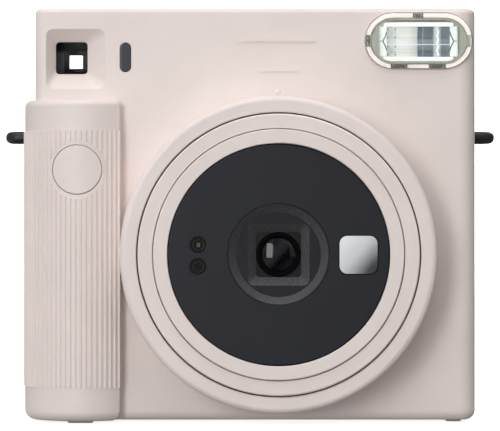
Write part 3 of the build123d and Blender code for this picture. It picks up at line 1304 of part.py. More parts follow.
with BuildPart() as viewfinder_tube:
    block(
        (VIEWFINDER_X - FINDER_TUBE_HALF_WIDTH, VIEWFINDER_X + FINDER_TUBE_HALF_WIDTH),
        (FUNNEL_BACK + SNUG, FINDER_TUBE_BACK),
        (VIEWFINDER_Z - FINDER_TUBE_HALF_HEIGHT, VIEWFINDER_Z + FINDER_TUBE_HALF_HEIGHT),
    )
    # The seat of the front lens, the tube's inside, and the stop at the eye end.
    seat_half_width = VIEWFINDER_WIDTH / 2 + FINDER_LENS_MARGIN + FINDER_SEAT_GAP
    seat_half_height = VIEWFINDER_HEIGHT / 2 + FINDER_LENS_MARGIN + FINDER_SEAT_GAP
    for half_width, half_height, back in (
        (seat_half_width, seat_half_height, FINDER_LENS_BACK + FINDER_SEAT_GAP),
        (seat_half_width - 3 * SNUG, seat_half_height - 3 * SNUG, FINDER_TUBE_BACK - TUBE_WALL),
        (EYE_STOP / 2, EYE_STOP / 2, BODY_BACK),
    ):
        block(
            (VIEWFINDER_X - half_width, VIEWFINDER_X + half_width),
            (-FAR, back),
            (VIEWFINDER_Z - half_height, VIEWFINDER_Z + half_height),
            mode=Mode.SUBTRACT,
        )

save(viewfinder_tube, "viewfinder_tube")

with BuildPart() as eyepiece_lens:
    block(
        (VIEWFINDER_X - EYEPIECE_SIZE / 2, VIEWFINDER_X + EYEPIECE_SIZE / 2),
        (BODY_BACK - WALL, BODY_BACK - EYEPIECE_SUNK),
        (VIEWFINDER_Z - EYEPIECE_SIZE / 2, VIEWFINDER_Z + EYEPIECE_SIZE / 2),
    )

save(eyepiece_lens, "eyepiece_lens")

# ------------------------------------------------------------------ film chamber
CONE_FRONT = -6.0
CONE_MOUTH = 46.0
CONE_WALL = 1.4
CONE_LIP = 2.0  # how far the cone's back stands outside the film gate
CHASSIS_BACK = 25.2
PICK_SLOT_Y = (8.6, 11.4)
PICK_SLOT_Z = (56.0, 70.5)
PACK_FRONT = CHASSIS_FRONT + CHASSIS_WALL + 0.2
PACK_BACK = 24.9
PACK_CORNER = 1.5
PACK_WINDOW_DEPTH = 1.6
PICK_LEFT = CHASSIS_LEFT - 1.5
PICK_RIGHT = CHASSIS_LEFT - 0.5

with BuildPart() as light_chamber:
    for wall, mode in ((0.0, Mode.ADD), (CONE_WALL, Mode.SUBTRACT)):
        with BuildSketch(facing_front(CONE_FRONT, LENS_X, LENS_Z)):
            Rectangle(CONE_MOUTH - 2 * wall, CONE_MOUTH - 2 * wall)
        with BuildSketch(facing_front(CHASSIS_FRONT - SNUG, LENS_X, LENS_Z)):
            Rectangle(FILM_GATE + 2 * CONE_LIP - 2 * wall, FILM_GATE + 2 * CONE_LIP - 2 * wall)
        loft(mode=mode)

save(light_chamber, "light_chamber")

with BuildPart() as chassis:
    block((CHASSIS_LEFT, CHASSIS_RIGHT), (CHASSIS_FRONT, CHASSIS_BACK), (PACK_BOTTOM - WALL, PACK_TOP))
    block(
        (PACK_LEFT - MOVING_GAP, PACK_RIGHT + MOVING_GAP),
        (CHASSIS_FRONT + CHASSIS_WALL, FAR),
        (PACK_BOTTOM - MOVING_GAP, FAR),
        mode=Mode.SUBTRACT,
    )
    with BuildSketch(facing_front(CHASSIS_FRONT - PAST, LENS_X, LENS_Z)):
        Rectangle(FILM_GATE, FILM_GATE)
    extrude(amount=-(CHASSIS_WALL + 2 * PAST), mode=Mode.SUBTRACT)
    # Slot for the film pick.
    block((CHASSIS_LEFT - PAST, PACK_LEFT), PICK_SLOT_Y, PICK_SLOT_Z, mode=Mode.SUBTRACT)

save(chassis, "chassis")

with BuildPart() as film_pack:
    block((PACK_LEFT, PACK_RIGHT), (PACK_FRONT, PACK_BACK), (PACK_BOTTOM, PACK_TOP - MOVING_GAP))
    fillet(film_pack.edges().filter_by(Axis.Y), PACK_CORNER)
    # The opening in its front, with the film behind it.
    with BuildSketch(facing_front(PACK_FRONT, LENS_X, LENS_Z)):
        Rectangle(FILM_GATE + PAST, FILM_GATE + PAST)
    extrude(amount=-PACK_WINDOW_DEPTH, mode=Mode.SUBTRACT)

save(film_pack, "film_pack")

with BuildPart() as film_pick:
    block((PICK_LEFT, PICK_RIGHT), (8.0, 12.0), (50.0, 88.0))
    block((PICK_LEFT, PACK_LEFT - 2 * MOVING_GAP), (9.0, 11.0), (57.0, 61.0))

save(film_pick, "film_pick")


# ------------------------------------------------------------------ rollers and their drive
def offset_point(start, distance, direction):
    """The point at a distance and a direction, in degrees, from a start point (Y, Z)."""
    angle = math.radians(direction)
    return (start[0] + distance * math.cos(angle), start[1] + distance * math.sin(angle))


def centre_distance(teeth_a, teeth_b):
    return GEAR_MODULE * (teeth_a + teeth_b) / 2 + MESH_SLACK


def meshing_angle(driver_angle, driver_teeth, driven_teeth, direction):
    """Where a driven gear has a tooth, so that one of its gaps faces the driver's tooth."""
    offset = driver_angle - direction
    return direction + 180 - offset * driver_teeth / driven_teeth + 180 / driven_teeth


DRIVE_AXIS = (DRIVE_ROLLER_Y, ROLLER_Z)
PINCH_AXIS = (DRIVE_ROLLER_Y + centre_distance(ROLLER_TEETH, ROLLER_TEETH), ROLLER_Z)
REDUCTION_AXIS = offset_point(DRIVE_AXIS, centre_distance(ROLLER_TEETH, SMALL_TEETH), REDUCTION_DIRECTION)
MOTOR_AXIS = offset_point(REDUCTION_AXIS, centre_distance(LARGE_TEETH, SMALL_TEETH), MOTOR_DIRECTION)
PINCH_ANGLE = meshing_angle(0.0, ROLLER_TEETH, ROLLER_TEETH, 0.0)
SMALL_ANGLE = meshing_angle(0.0, ROLLER_TEETH, SMALL_TEETH, REDUCTION_DIRECTION)
PINION_ANGLE = meshing_angle(0.0, LARGE_TEETH, SMALL_TEETH, MOTOR_DIRECTION)
print("drive axis", DRIVE_AXIS, "pinch axis", PINCH_AXIS)
print("reduction axis", REDUCTION_AXIS, "motor axis", MOTOR_AXIS)


def gear_block(axis, teeth, first_angle, layer):
    """A spur gear along X with straight-sided teeth, a little thin for easy running."""
    pitch_radius = GEAR_MODULE * teeth / 2
    root = pitch_radius - 1.2 * GEAR_MODULE
    tip = pitch_radius + 0.85 * GEAR_MODULE
    with BuildPart() as wheel:
        with BuildSketch(facing_right(layer[0], *axis)):
            Circle(root)
            with PolarLocations(0, teeth, start_angle=first_angle):
                Polygon(
                    (root - 0.3, -0.9 * GEAR_MODULE),
                    (root, -0.9 * GEAR_MODULE),
                    (pitch_radius, -0.62 * GEAR_MODULE),
                    (tip, -0.28 * GEAR_MODULE),
                    (tip, 0.28 * GEAR_MODULE),
                    (pitch_radius, 0.62 * GEAR_MODULE),
                    (root, 0.9 * GEAR_MODULE),
                    (root - 0.3, 0.9 * GEAR_MODULE),
                    align=None,
                )
        extrude(amount=layer[1] - layer[0])
    return wheel.part


ROLLER_SPAN = (-29.9, 46.1)
SHAFT_SPAN = (GEAR_LAYER_A[0], 49.5)

with BuildPart() as drive_roller:
    rod_along_x(*DRIVE_AXIS, ROLLER_RADIUS, *ROLLER_SPAN)
    rod_along_x(*DRIVE_AXIS, ROLLER_SHAFT, *SHAFT_SPAN)

save(drive_roller, "drive_roller")

with BuildPart() as pinch_roller:
    rod_along_x(*PINCH_AXIS, ROLLER_RADIUS, *ROLLER_SPAN)
    rod_along_x(*PINCH_AXIS, ROLLER_SHAFT, *SHAFT_SPAN)

save(pinch_roller, "pinch_roller")

with BuildPart() as drive_roller_gear:
    add(gear_block(DRIVE_AXIS, ROLLER_TEETH, 0.0, GEAR_LAYER_A))
    rod_along_x(*DRIVE_AXIS, ROLLER_SHAFT + SNUG, -FAR, FAR, mode=Mode.SUBTRACT)

save(drive_roller_gear, "drive_roller_gear")

with BuildPart() as pinch_roller_gear:
    add(gear_block(PINCH_AXIS, ROLLER_TEETH, PINCH_ANGLE, GEAR_LAYER_A))
    rod_along_x(*PINCH_AXIS, ROLLER_SHAFT + SNUG, -FAR, FAR, mode=Mode.SUBTRACT)

save(pinch_roller_gear, "pinch_roller_gear")

REDUCTION_HUB = 2.0
REDUCTION_SHAFT = 1.0

with BuildPart() as reduction_gear:
    add(gear_block(REDUCTION_AXIS, SMALL_TEETH, SMALL_ANGLE, GEAR_LAYER_A))
    add(gear_block(REDUCTION_AXIS, LARGE_TEETH, 0.0, GEAR_LAYER_B))
    rod_along_x(*REDUCTION_AXIS, REDUCTION_HUB, GEAR_LAYER_B[0], GEAR_LAYER_A[1])
    rod_along_x(*REDUCTION_AXIS, REDUCTION_SHAFT, GEAR_LAYER_B[0] - 0.6, BRACKET_LEFT + BRACKET_THICKNESS)

save(reduction_gear, "reduction_gear")

MOTOR_RADIUS = 5.25
MOTOR_RIGHT = -12.0
MOTOR_SHAFT = 0.75
MOTOR_SHAFT_GAP = 0.45
MOTOR_SHAFT_END = -28.0

with BuildPart() as motor_pinion:
    add(gear_block(MOTOR_AXIS, SMALL_TEETH, PINION_ANGLE, GEAR_LAYER_B))
    rod_along_x(*MOTOR_AXIS, MOTOR_SHAFT, GEAR_LAYER_B[1], MOTOR_SHAFT_END)

save(motor_pinion, "motor_pinion")

with BuildPart() as motor:
    rod_along_x(*MOTOR_AXIS, MOTOR_RADIUS, BRACKET_LEFT + BRACKET_THICKNESS + SNUG, MOTOR_RIGHT)
    fillet(motor.edges().filter_by(GeomType.CIRCLE), 0.6)
    rod_along_x(*MOTOR_AXIS, MOTOR_SHAFT + PIN_GAP, -FAR, MOTOR_SHAFT_END + MOVING_GAP, mode=Mode.SUBTRACT)

save(motor, "motor")

BRACKET_BOTTOM = 103.3
BRACKET_FOOT = 85.6  # the left bracket reaches down past the motor
BRACKET_TOP = 113.5
BRACKET_FRONT = -8.4
BRACKET_BACK = 18.0
BRACKET_RIGHT = 47.9

with BuildPart() as roller_brackets:
    with BuildSketch(facing_right(BRACKET_LEFT)):
        with BuildLine():
            Polyline(
                (BRACKET_FRONT, BRACKET_FOOT),
                (CHASSIS_FRONT - 0.2, BRACKET_FOOT),
                (CHASSIS_FRONT - 0.2, BRACKET_BOTTOM),
                (BRACKET_BACK, BRACKET_BOTTOM),
                (BRACKET_BACK, BRACKET_TOP),
                (BRACKET_FRONT, BRACKET_TOP),
                close=True,
            )
        make_face()
    extrude(amount=BRACKET_THICKNESS)
    block(
        (BRACKET_RIGHT, BRACKET_RIGHT + BRACKET_THICKNESS),
        (CHASSIS_FRONT - 3.6, BRACKET_BACK),
        (BRACKET_BOTTOM, BRACKET_TOP),
    )
    for y, z in (DRIVE_AXIS, PINCH_AXIS):
        rod_along_x(y, z, ROLLER_SHAFT + PIN_GAP, -FAR, FAR, mode=Mode.SUBTRACT)
    rod_along_x(*REDUCTION_AXIS, REDUCTION_SHAFT + PIN_GAP, -FAR, 0, mode=Mode.SUBTRACT)
    rod_along_x(*MOTOR_AXIS, MOTOR_SHAFT + MOTOR_SHAFT_GAP, -FAR, 0, mode=Mode.SUBTRACT)

save(roller_brackets, "roller_brackets")

# ------------------------------------------------------------------ film counter
DIAL_RADIUS = 7.0
DIAL_FRONT = 24.8
DIAL_BACK = 26.1
DIAL_HUB_RADIUS = 2.2
DIAL_HUB_FRONT = 23.8

with BuildPart() as counter_dial:
    rod_along_y(COUNTER_X, COUNTER_Z, DIAL_RADIUS, DIAL_FRONT, DIAL_BACK)
    rod_along_y(COUNTER_X, COUNTER_Z, DIAL_HUB_RADIUS, DIAL_HUB_FRONT, DIAL_FRONT)
    rod_along_y(COUNTER_X, COUNTER_Z, DIAL_PIN_RADIUS + PIN_GAP, -FAR, FAR, mode=Mode.SUBTRACT)

save(counter_dial, "counter_dial")

with BuildPart() as counter_window:
    block(
        (COUNTER_X - COUNTER_WINDOW_WIDTH / 2, COUNTER_X + COUNTER_WINDOW_WIDTH / 2),
        (BODY_BACK - WALL + 2 * SNUG, BODY_BACK - WINDOW_SUNK),
        (COUNTER_WINDOW_Z - COUNTER_WINDOW_HEIGHT / 2, COUNTER_WINDOW_Z + COUNTER_WINDOW_HEIGHT / 2),
    )

save(counter_window, "counter_window")
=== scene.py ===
import json
import math

import bmesh
import bpy
from mathutils import Matrix, Vector

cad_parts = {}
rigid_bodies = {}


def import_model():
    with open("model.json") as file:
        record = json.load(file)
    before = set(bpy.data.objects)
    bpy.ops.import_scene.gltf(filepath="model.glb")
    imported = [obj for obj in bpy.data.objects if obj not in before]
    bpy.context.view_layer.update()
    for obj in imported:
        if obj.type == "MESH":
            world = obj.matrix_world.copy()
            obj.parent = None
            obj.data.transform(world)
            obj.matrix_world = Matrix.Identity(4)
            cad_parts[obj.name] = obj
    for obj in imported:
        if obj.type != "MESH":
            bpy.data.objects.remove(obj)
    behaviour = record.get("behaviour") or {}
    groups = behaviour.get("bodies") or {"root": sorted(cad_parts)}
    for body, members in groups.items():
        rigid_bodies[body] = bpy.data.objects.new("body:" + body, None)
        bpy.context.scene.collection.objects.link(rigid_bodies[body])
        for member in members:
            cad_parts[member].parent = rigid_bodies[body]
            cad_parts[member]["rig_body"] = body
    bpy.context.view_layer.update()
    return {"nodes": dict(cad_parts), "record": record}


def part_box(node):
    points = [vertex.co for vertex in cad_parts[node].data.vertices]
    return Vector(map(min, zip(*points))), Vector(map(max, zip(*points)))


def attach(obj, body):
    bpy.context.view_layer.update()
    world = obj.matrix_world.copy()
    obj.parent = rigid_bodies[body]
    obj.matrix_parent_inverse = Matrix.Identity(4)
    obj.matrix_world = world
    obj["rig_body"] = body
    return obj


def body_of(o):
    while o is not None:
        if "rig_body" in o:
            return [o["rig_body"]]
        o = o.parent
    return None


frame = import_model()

NODES = frame["nodes"]
MM = 0.001

# ---------------------------------------- camera: level, square to the front
CAMERA_DISTANCE = 0.900  # from the front face's plane to the camera
FACE_PLANE_Y = -0.009
CAMERA_HEIGHT = 0.0597
SENSOR_WIDTH = 36.0
FRAME_WIDTH = 0.14425  # what the frame takes in at the face plane

camera_data = bpy.data.cameras.new("camera")
camera_data.sensor_width = SENSOR_WIDTH
camera_data.lens = SENSOR_WIDTH * CAMERA_DISTANCE / FRAME_WIDTH
camera_data.clip_end = 20.0
camera = bpy.data.objects.new("camera", camera_data)
camera.location = (0.0, FACE_PLANE_Y - CAMERA_DISTANCE, CAMERA_HEIGHT)
camera.rotation_euler = (math.radians(90), 0.0, 0.0)
bpy.context.scene.collection.objects.link(camera)
bpy.context.scene.camera = camera
bpy.context.scene.view_settings.view_transform = "Standard"


# ---------------------------------------- material helpers
def linear(red, green, blue):
    """A colour given as 0 to 255 display values, as the linear values a shader takes."""
    def channel(value):
        value /= 255.0
        return value / 12.92 if value <= 0.04045 else ((value + 0.055) / 1.055) ** 2.4
    return (channel(red), channel(green), channel(blue), 1.0)


# Noise scales in turns per metre, from broad clouds to sharp grain.
CLOUD_SCALE = 55.0
DRAWN_LINE_SCALE = 90.0
WAVE_SCALE = 140.0
POLISH_SCALE = 200.0
HAZE_SCALE = 260.0
FACET_STEP_SCALE = 700.0
SPARKLE_SCALE = 4200.0
NOISE_ROUGHNESS = 0.55
NOISE_LOW = 0.3  # nearly all noise lies between these two values
NOISE_HIGH = 0.7


def start_material(name):
    """A new material with its principled shader, its node tree and its object coordinates."""
    material = bpy.data.materials.new(name)
    material.use_nodes = True
    tree = material.node_tree
    shader = tree.nodes["Principled BSDF"]
    coordinates = tree.nodes.new("ShaderNodeTexCoord").outputs["Object"]
    return material, tree, shader, coordinates


def noise(tree, coordinates, scale, detail=3.0, stretch=None):
    """Noise over the object's own coordinates, drawn out along an axis where a stretch is given."""
    if stretch is not None:
        mapping = tree.nodes.new("ShaderNodeMapping")
        mapping.inputs["Scale"].default_value = stretch
        tree.links.new(coordinates, mapping.inputs["Vector"])
        coordinates = mapping.outputs["Vector"]
    texture = tree.nodes.new("ShaderNodeTexNoise")
    texture.inputs["Scale"].default_value = scale
    texture.inputs["Detail"].default_value = detail
    texture.inputs["Roughness"].default_value = NOISE_ROUGHNESS
    tree.links.new(coordinates, texture.inputs["Vector"])
    return texture.outputs["Fac"]


def remap(tree, value, low, high):
    """A noise value spread between low and high."""
    node = tree.nodes.new("ShaderNodeMapRange")
    node.inputs["From Min"].default_value = NOISE_LOW
    node.inputs["From Max"].default_value = NOISE_HIGH
    node.inputs["To Min"].default_value = low
    node.inputs["To Max"].default_value = high
    tree.links.new(value, node.inputs["Value"])
    return node.outputs["Result"]


def mottle(tree, value, dark, light):
    """A colour between two near shades."""
    ramp = tree.nodes.new("ShaderNodeValToRGB")
    ramp.color_ramp.elements[0].position = NOISE_LOW
    ramp.color_ramp.elements[0].color = dark
    ramp.color_ramp.elements[1].position = NOISE_HIGH
    ramp.color_ramp.elements[1].color = light
    tree.links.new(value, ramp.inputs["Fac"])
    return ramp.outputs["Color"]


def bump(tree, shader, height, distance_mm, strength):
    """Fine relief on the surface, of a depth in millimetres."""
    node = tree.nodes.new("ShaderNodeBump")
    node.inputs["Distance"].default_value = distance_mm * MM
    node.inputs["Strength"].default_value = strength
    tree.links.new(height, node.inputs["Height"])
    tree.links.new(node.outputs["Normal"], shader.inputs["Normal"])


def shade(colour, factor):
    """The colour made darker or lighter by a factor."""
    return tuple(min(1.0, channel * factor) for channel in colour[:3]) + (1.0,)


def moulded(name, colour, grain_mm=0.18, depth_mm=0.012, roughness=(0.42, 0.55), spread=0.03, specular=0.5):
    """Moulded plastic with a fine spark-eroded texture and a faint cloudiness in its colour."""
    material, tree, shader, place = start_material(name)
    cloud = noise(tree, place, CLOUD_SCALE)
    clouded = mottle(tree, cloud, shade(colour, 1 - spread), shade(colour, 1 + spread))
    tree.links.new(clouded, shader.inputs["Base Color"])
    grain = noise(tree, place, 1.0 / (grain_mm * MM), detail=2.0)
    tree.links.new(remap(tree, grain, *roughness), shader.inputs["Roughness"])
    bump(tree, shader, grain, depth_mm, 0.6)
    shader.inputs["Specular IOR Level"].default_value = specular
    return material


def brushed(name, colour, roughness=(0.22, 0.4), metallic=1.0):
    """Metal with fine drawn lines."""
    material, tree, shader, place = start_material(name)
    lines = noise(tree, place, DRAWN_LINE_SCALE, detail=4.0, stretch=(1.0, 40.0, 40.0))
    tree.links.new(mottle(tree, lines, shade(colour, 0.85), shade(colour, 1.1)), shader.inputs["Base Color"])
    tree.links.new(remap(tree, lines, *roughness), shader.inputs["Roughness"])
    bump(tree, shader, lines, 0.01, 0.4)
    shader.inputs["Metallic"].default_value = metallic
    return material


def clear(name, colour, roughness=0.02, ior=1.49):
    """Clear plastic or glass with faint surface waviness."""
    material, tree, shader, place = start_material(name)
    wave = noise(tree, place, WAVE_SCALE, detail=1.0)
    tree.links.new(mottle(tree, wave, shade(colour, 0.985), colour), shader.inputs["Base Color"])
    bump(tree, shader, wave, 0.004, 0.3)
    shader.inputs["Roughness"].default_value = roughness
    shader.inputs["Transmission Weight"].default_value = 1.0
    shader.inputs["IOR"].default_value = ior
    return material


def polished(name, colour, roughness=(0.05, 0.12), specular=0.5, coat=0.6):
    """Glossy plastic with a faint unevenness."""
    material, tree, shader, place = start_material(name)
    cloud = noise(tree, place, POLISH_SCALE)
    tree.links.new(mottle(tree, cloud, shade(colour, 0.9), shade(colour, 1.1)), shader.inputs["Base Color"])
    tree.links.new(remap(tree, cloud, *roughness), shader.inputs["Roughness"])
    bump(tree, shader, cloud, 0.003, 0.3)
    shader.inputs["Specular IOR Level"].default_value = specular
    shader.inputs["Coat Weight"].default_value = coat
    shader.inputs["Coat Roughness"].default_value = 0.04
    return material


def mirror_material():
    """Silvered plastic: a bright reflector with a trace of haze."""
    material, tree, shader, place = start_material("mirror")
    haze = noise(tree, place, HAZE_SCALE)
    colour = linear(248, 251, 254)
    tree.links.new(mottle(tree, haze, shade(colour, 0.97), colour), shader.inputs["Base Color"])
    tree.links.new(remap(tree, haze, 0.05, 0.09), shader.inputs["Roughness"])
    shader.inputs["Metallic"].default_value = 1.0
    return material


GATHERED_LIGHT = 0.14  # a faint glow stands for the light that the curved reflector gathers
STEP_DARK = (0.45, 0.48, 0.5, 1.0)
PLAIN_WHITE = (1.0, 1.0, 1.0, 1.0)
# Where each band of painted highlight, reflection and shade on the reflector lies, from its left end at 0 to
# its right end at 1.
REFLECTOR_PAINTED_BANDS = [
    (0.0, (236, 240, 236)), (0.225, (232, 237, 232)), (0.235, (254, 255, 252)), (0.25, (246, 247, 241)),
    (0.38, (244, 244, 238)), (0.49, (214, 216, 211)), (0.505, (84, 102, 112)), (0.56, (94, 112, 122)),
    (0.565, (176, 190, 196)), (0.575, (98, 116, 126)), (0.69, (92, 110, 120)), (0.72, (218, 226, 228)),
    (0.78, (206, 216, 219)), (0.81, (112, 130, 139)), (0.9, (124, 141, 148)), (1.0, (228, 234, 235)),
]


def reflector_material():
    """Bright formed sheet, faceted across it, its colour painted with its light, shade and reflections: pale
    on the left with a narrow painted highlight, and blue-grey bands of painted reflection on the right.
    """
    material, tree, shader, place = start_material("reflector")
    axes = tree.nodes.new("ShaderNodeSeparateXYZ")
    tree.links.new(place, axes.inputs["Vector"])
    across = tree.nodes.new("ShaderNodeMapRange")
    low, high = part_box("flash_reflector")
    across.inputs["From Min"].default_value = low.x
    across.inputs["From Max"].default_value = high.x
    tree.links.new(axes.outputs["X"], across.inputs["Value"])
    # Painted highlight, reflections and shade across the reflector, as a colour ramp.
    painted_bands = tree.nodes.new("ShaderNodeValToRGB")
    ramp = painted_bands.color_ramp
    for position, _ in REFLECTOR_PAINTED_BANDS[2:]:
        ramp.elements.new(position)
    for element, (position, colour) in zip(ramp.elements, REFLECTOR_PAINTED_BANDS):
        element.position = position
        element.color = linear(*colour)
    tree.links.new(across.outputs["Result"], painted_bands.inputs["Fac"])
    steps = noise(tree, place, FACET_STEP_SCALE, detail=1.0, stretch=(0.02, 0.02, 1.0))
    mix = tree.nodes.new("ShaderNodeMix")
    mix.data_type = "RGBA"
    mix.blend_type = "MULTIPLY"
    mix.inputs["Factor"].default_value = 0.2
    tree.links.new(painted_bands.outputs["Color"], mix.inputs["A"])
    tree.links.new(mottle(tree, steps, STEP_DARK, PLAIN_WHITE), mix.inputs["B"])
    tree.links.new(mix.outputs["Result"], shader.inputs["Base Color"])
    # The glow takes the same painted colours, as painted light.
    tree.links.new(mix.outputs["Result"], shader.inputs["Emission Color"])
    shader.inputs["Emission Strength"].default_value = GATHERED_LIGHT
    tree.links.new(remap(tree, steps, 0.25, 0.4), shader.inputs["Roughness"])
    shader.inputs["Metallic"].default_value = 0.1
    return material


FACING_FRONT = -0.97  # the normal's Y of a face that is still taken as facing forward
FACING_AWAY = -0.9  # and of one that is fully sloping, with the full painted glint colour
HOOD_SHADE_DEPTH = (0.3, 0.6)  # the share of the hood's depth over which painted shade darkens it


def hood_material():
    """Black plastic: its own colour in front, darkened by painted shade in its depth, and on its sloping
    faces coarse, with painted glints in a lighter sparkling colour.
    """
    material, tree, shader, place = start_material("hood_black")
    low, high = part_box("lens_hood")
    depth = tree.nodes.new("ShaderNodeMapRange")
    depth.inputs["From Min"].default_value = low.y + HOOD_SHADE_DEPTH[0] * (high.y - low.y)
    depth.inputs["From Max"].default_value = low.y + HOOD_SHADE_DEPTH[1] * (high.y - low.y)
    axes = tree.nodes.new("ShaderNodeSeparateXYZ")
    tree.links.new(place, axes.inputs["Vector"])
    tree.links.new(axes.outputs["Y"], depth.inputs["Value"])
    # Painted shade: darker from the hood's front colour into its depth.
    depth_shade = tree.nodes.new("ShaderNodeMix")
    depth_shade.data_type = "RGBA"
    depth_shade.inputs["A"].default_value = linear(31, 32, 40)
    depth_shade.inputs["B"].default_value = linear(6, 6, 8)
    tree.links.new(depth.outputs["Result"], depth_shade.inputs["Factor"])

    facing = tree.nodes.new("ShaderNodeSeparateXYZ")
    tree.links.new(tree.nodes.new("ShaderNodeNewGeometry").outputs["Normal"], facing.inputs["Vector"])
    glint_mask = tree.nodes.new("ShaderNodeMapRange")
    glint_mask.inputs["From Min"].default_value = FACING_FRONT
    glint_mask.inputs["From Max"].default_value = FACING_AWAY
    tree.links.new(facing.outputs["Y"], glint_mask.inputs["Value"])
    grain = noise(tree, place, SPARKLE_SCALE, detail=2.0)
    # Painted glints: a lighter sparkling colour on the sloping faces, over their real coarse grain.
    mix = tree.nodes.new("ShaderNodeMix")
    mix.data_type = "RGBA"
    tree.links.new(glint_mask.outputs["Result"], mix.inputs["Factor"])
    tree.links.new(depth_shade.outputs["Result"], mix.inputs["A"])
    tree.links.new(mottle(tree, grain, linear(34, 34, 38), linear(104, 103, 106)), mix.inputs["B"])
    tree.links.new(mix.outputs["Result"], shader.inputs["Base Color"])
    tree.links.new(remap(tree, grain, 0.4, 0.55), shader.inputs["Roughness"])
    bump(tree, shader, grain, 0.01, 0.6)
    shader.inputs["Specular IOR Level"].default_value = 0.25
    return material


# ---------------------------------------- materials, one for each slot of the record
CASING = linear(233, 221, 216)
MATERIALS = {
    "casing": moulded("casing", CASING),
    "black_plastic": moulded("black_plastic", linear(26, 26, 30), roughness=(0.35, 0.55), spread=0.12),
    "face_black": moulded(
        "face_black",
        linear(26, 27, 35),
        grain_mm=0.1,
        depth_mm=0.004,
        roughness=(0.4, 0.5),
        spread=0.05,
        specular=0.3,
    ),
    "lens_glass": clear("lens_glass", linear(78, 80, 96), roughness=0.0, ior=1.36),
    "clear_plastic": clear("clear_plastic", linear(250, 251, 250), roughness=0.015),
    "dark_window": polished("dark_window", linear(48, 52, 60)),
    "steel": brushed("steel", linear(190, 190, 194)),
    "mirror": mirror_material(),
    "reflector": reflector_material(),
    "roller_rubber": moulded("roller_rubber", linear(40, 40, 42), grain_mm=0.25, roughness=(0.6, 0.75)),
    "foot_rubber": moulded("foot_rubber", linear(176, 168, 163), grain_mm=0.25, roughness=(0.6, 0.75)),
    "gear_nylon": moulded("gear_nylon", linear(232, 229, 215), grain_mm=0.3, roughness=(0.4, 0.5)),
    "circuit_board": polished("circuit_board", linear(22, 92, 58), roughness=(0.25, 0.4), coat=0.2),
    "cell_sleeve": polished("cell_sleeve", linear(62, 70, 96), roughness=(0.25, 0.35), coat=0.3),
    "contact_brass": brushed("contact_brass", linear(214, 178, 104)),
    "capacitor_sleeve": polished("capacitor_sleeve", linear(30, 34, 66), roughness=(0.2, 0.3)),
    "frame_grey": moulded("frame_grey", linear(136, 140, 126), roughness=(0.35, 0.5)),
    "sensor_filter": polished("sensor_filter", linear(74, 84, 30)),
    "dial_white": moulded("dial_white", linear(236, 236, 232), roughness=(0.4, 0.5)),
}


for subpart in frame["record"]["subparts"]:
    mesh = NODES[subpart["node"]].data
    mesh.materials.clear()
    mesh.materials.append(MATERIALS[subpart["material_slot"]])


def refinish(material, *names):
    """Give CAD pieces a finish of their own in place of their slot's."""
    for name in names:
        NODES[name].data.materials.clear()
        NODES[name].data.materials.append(material)


refinish(hood_material(), "lens_hood")
BLACK_METAL = brushed("black_metal", linear(20, 20, 23), roughness=(0.4, 0.6), metallic=0.4)
refinish(BLACK_METAL, "shutter_blade_left", "shutter_blade_right", "shutter_plate")
COATED_GLASS = clear("coated_glass", linear(250, 251, 255), roughness=0.0, ior=1.14)
refinish(COATED_GLASS, "viewfinder_front_lens", "eyepiece_lens")
refinish(clear("tube_glass", linear(250, 252, 255), roughness=0.02), "flash_tube")
# Painted shade: these inner black parts are darker than the other black plastic, for the shade inside the
# recesses they line.
RECESS_SHADE_BLACK = moulded("recess_shade_black", linear(10, 10, 12), roughness=(0.5, 0.65), spread=0.15, specular=0.02)
refinish(RECESS_SHADE_BLACK, "viewfinder_tube", "light_chamber", "lens_cell", "lens_retaining_ring")
SENSOR_BLACK = polished("sensor_black", linear(8, 8, 11), roughness=(0.15, 0.25), specular=0.2, coat=0.1)
refinish(SENSOR_BLACK, "range_sensor_window", "light_sensor_ring")

# Clear pieces let the lights through to what is behind them.
CLEAR_PIECES = (
    "flash_window",
    "flash_tube",
    "viewfinder_front_lens",
    "eyepiece_lens",
    "film_window",
    "counter_window",
)
for name in CLEAR_PIECES:
    NODES[name].visible_shadow = False


# ---------------------------------------- pieces that only show
def show(name, mesh, material, body):
    """A finished mesh as a visible piece that rides a body of the camera."""
    mesh.materials.append(material)
    piece = bpy.data.objects.new(name, mesh)
    bpy.context.scene.collection.objects.link(piece)
    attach(piece, body)


def slab(name, x_span, y_span, z_span, material, body="root", edge=0.12):
    """A thin plate with broken edges, its limits and its edge in millimetres."""
    size = [(high - low) * MM for low, high in (x_span, y_span, z_span)]
    centre = [(high + low) / 2 * MM for low, high in (x_span, y_span, z_span)]
    form = bmesh.new()
    bmesh.ops.create_cube(form, size=1.0, matrix=Matrix.Translation(centre) @ Matrix.Diagonal((*size, 1.0)))
    width = min(edge * MM, min(size) * 0.4)
    bmesh.ops.bevel(form, geom=list(form.edges), offset=width, segments=3, affect="EDGES", profile=0.5)
    mesh = bpy.data.meshes.new(name)
    form.to_mesh(mesh)
    form.free()
    show(name, mesh, material, body)


def wire(name, points, radius, material, body="root", smooth=True, closed=False):
    """A round wire through points, in millimetres."""
    curve = bpy.data.curves.new(name, "CURVE")
    curve.dimensions = "3D"
    curve.bevel_depth = radius * MM
    curve.bevel_resolution = 4
    curve.use_fill_caps = True
    line = curve.splines.new("NURBS" if smooth else "POLY")
    line.points.add(len(points) - 1)
    for point, place in zip(line.points, points):
        point.co = (place[0] * MM, place[1] * MM, place[2] * MM, 1.0)
    line.use_cyclic_u = closed
    line.use_endpoint_u = not closed
    line.order_u = 3
    holder = bpy.data.objects.new(name, curve)
    bpy.context.scene.collection.objects.link(holder)
    bpy.context.view_layer.update()
    mesh = bpy.data.meshes.new_from_object(holder)
    mesh.name = name
    bpy.data.objects.remove(holder)
    for polygon in mesh.polygons:
        polygon.use_smooth = True
    show(name, mesh, material, body)


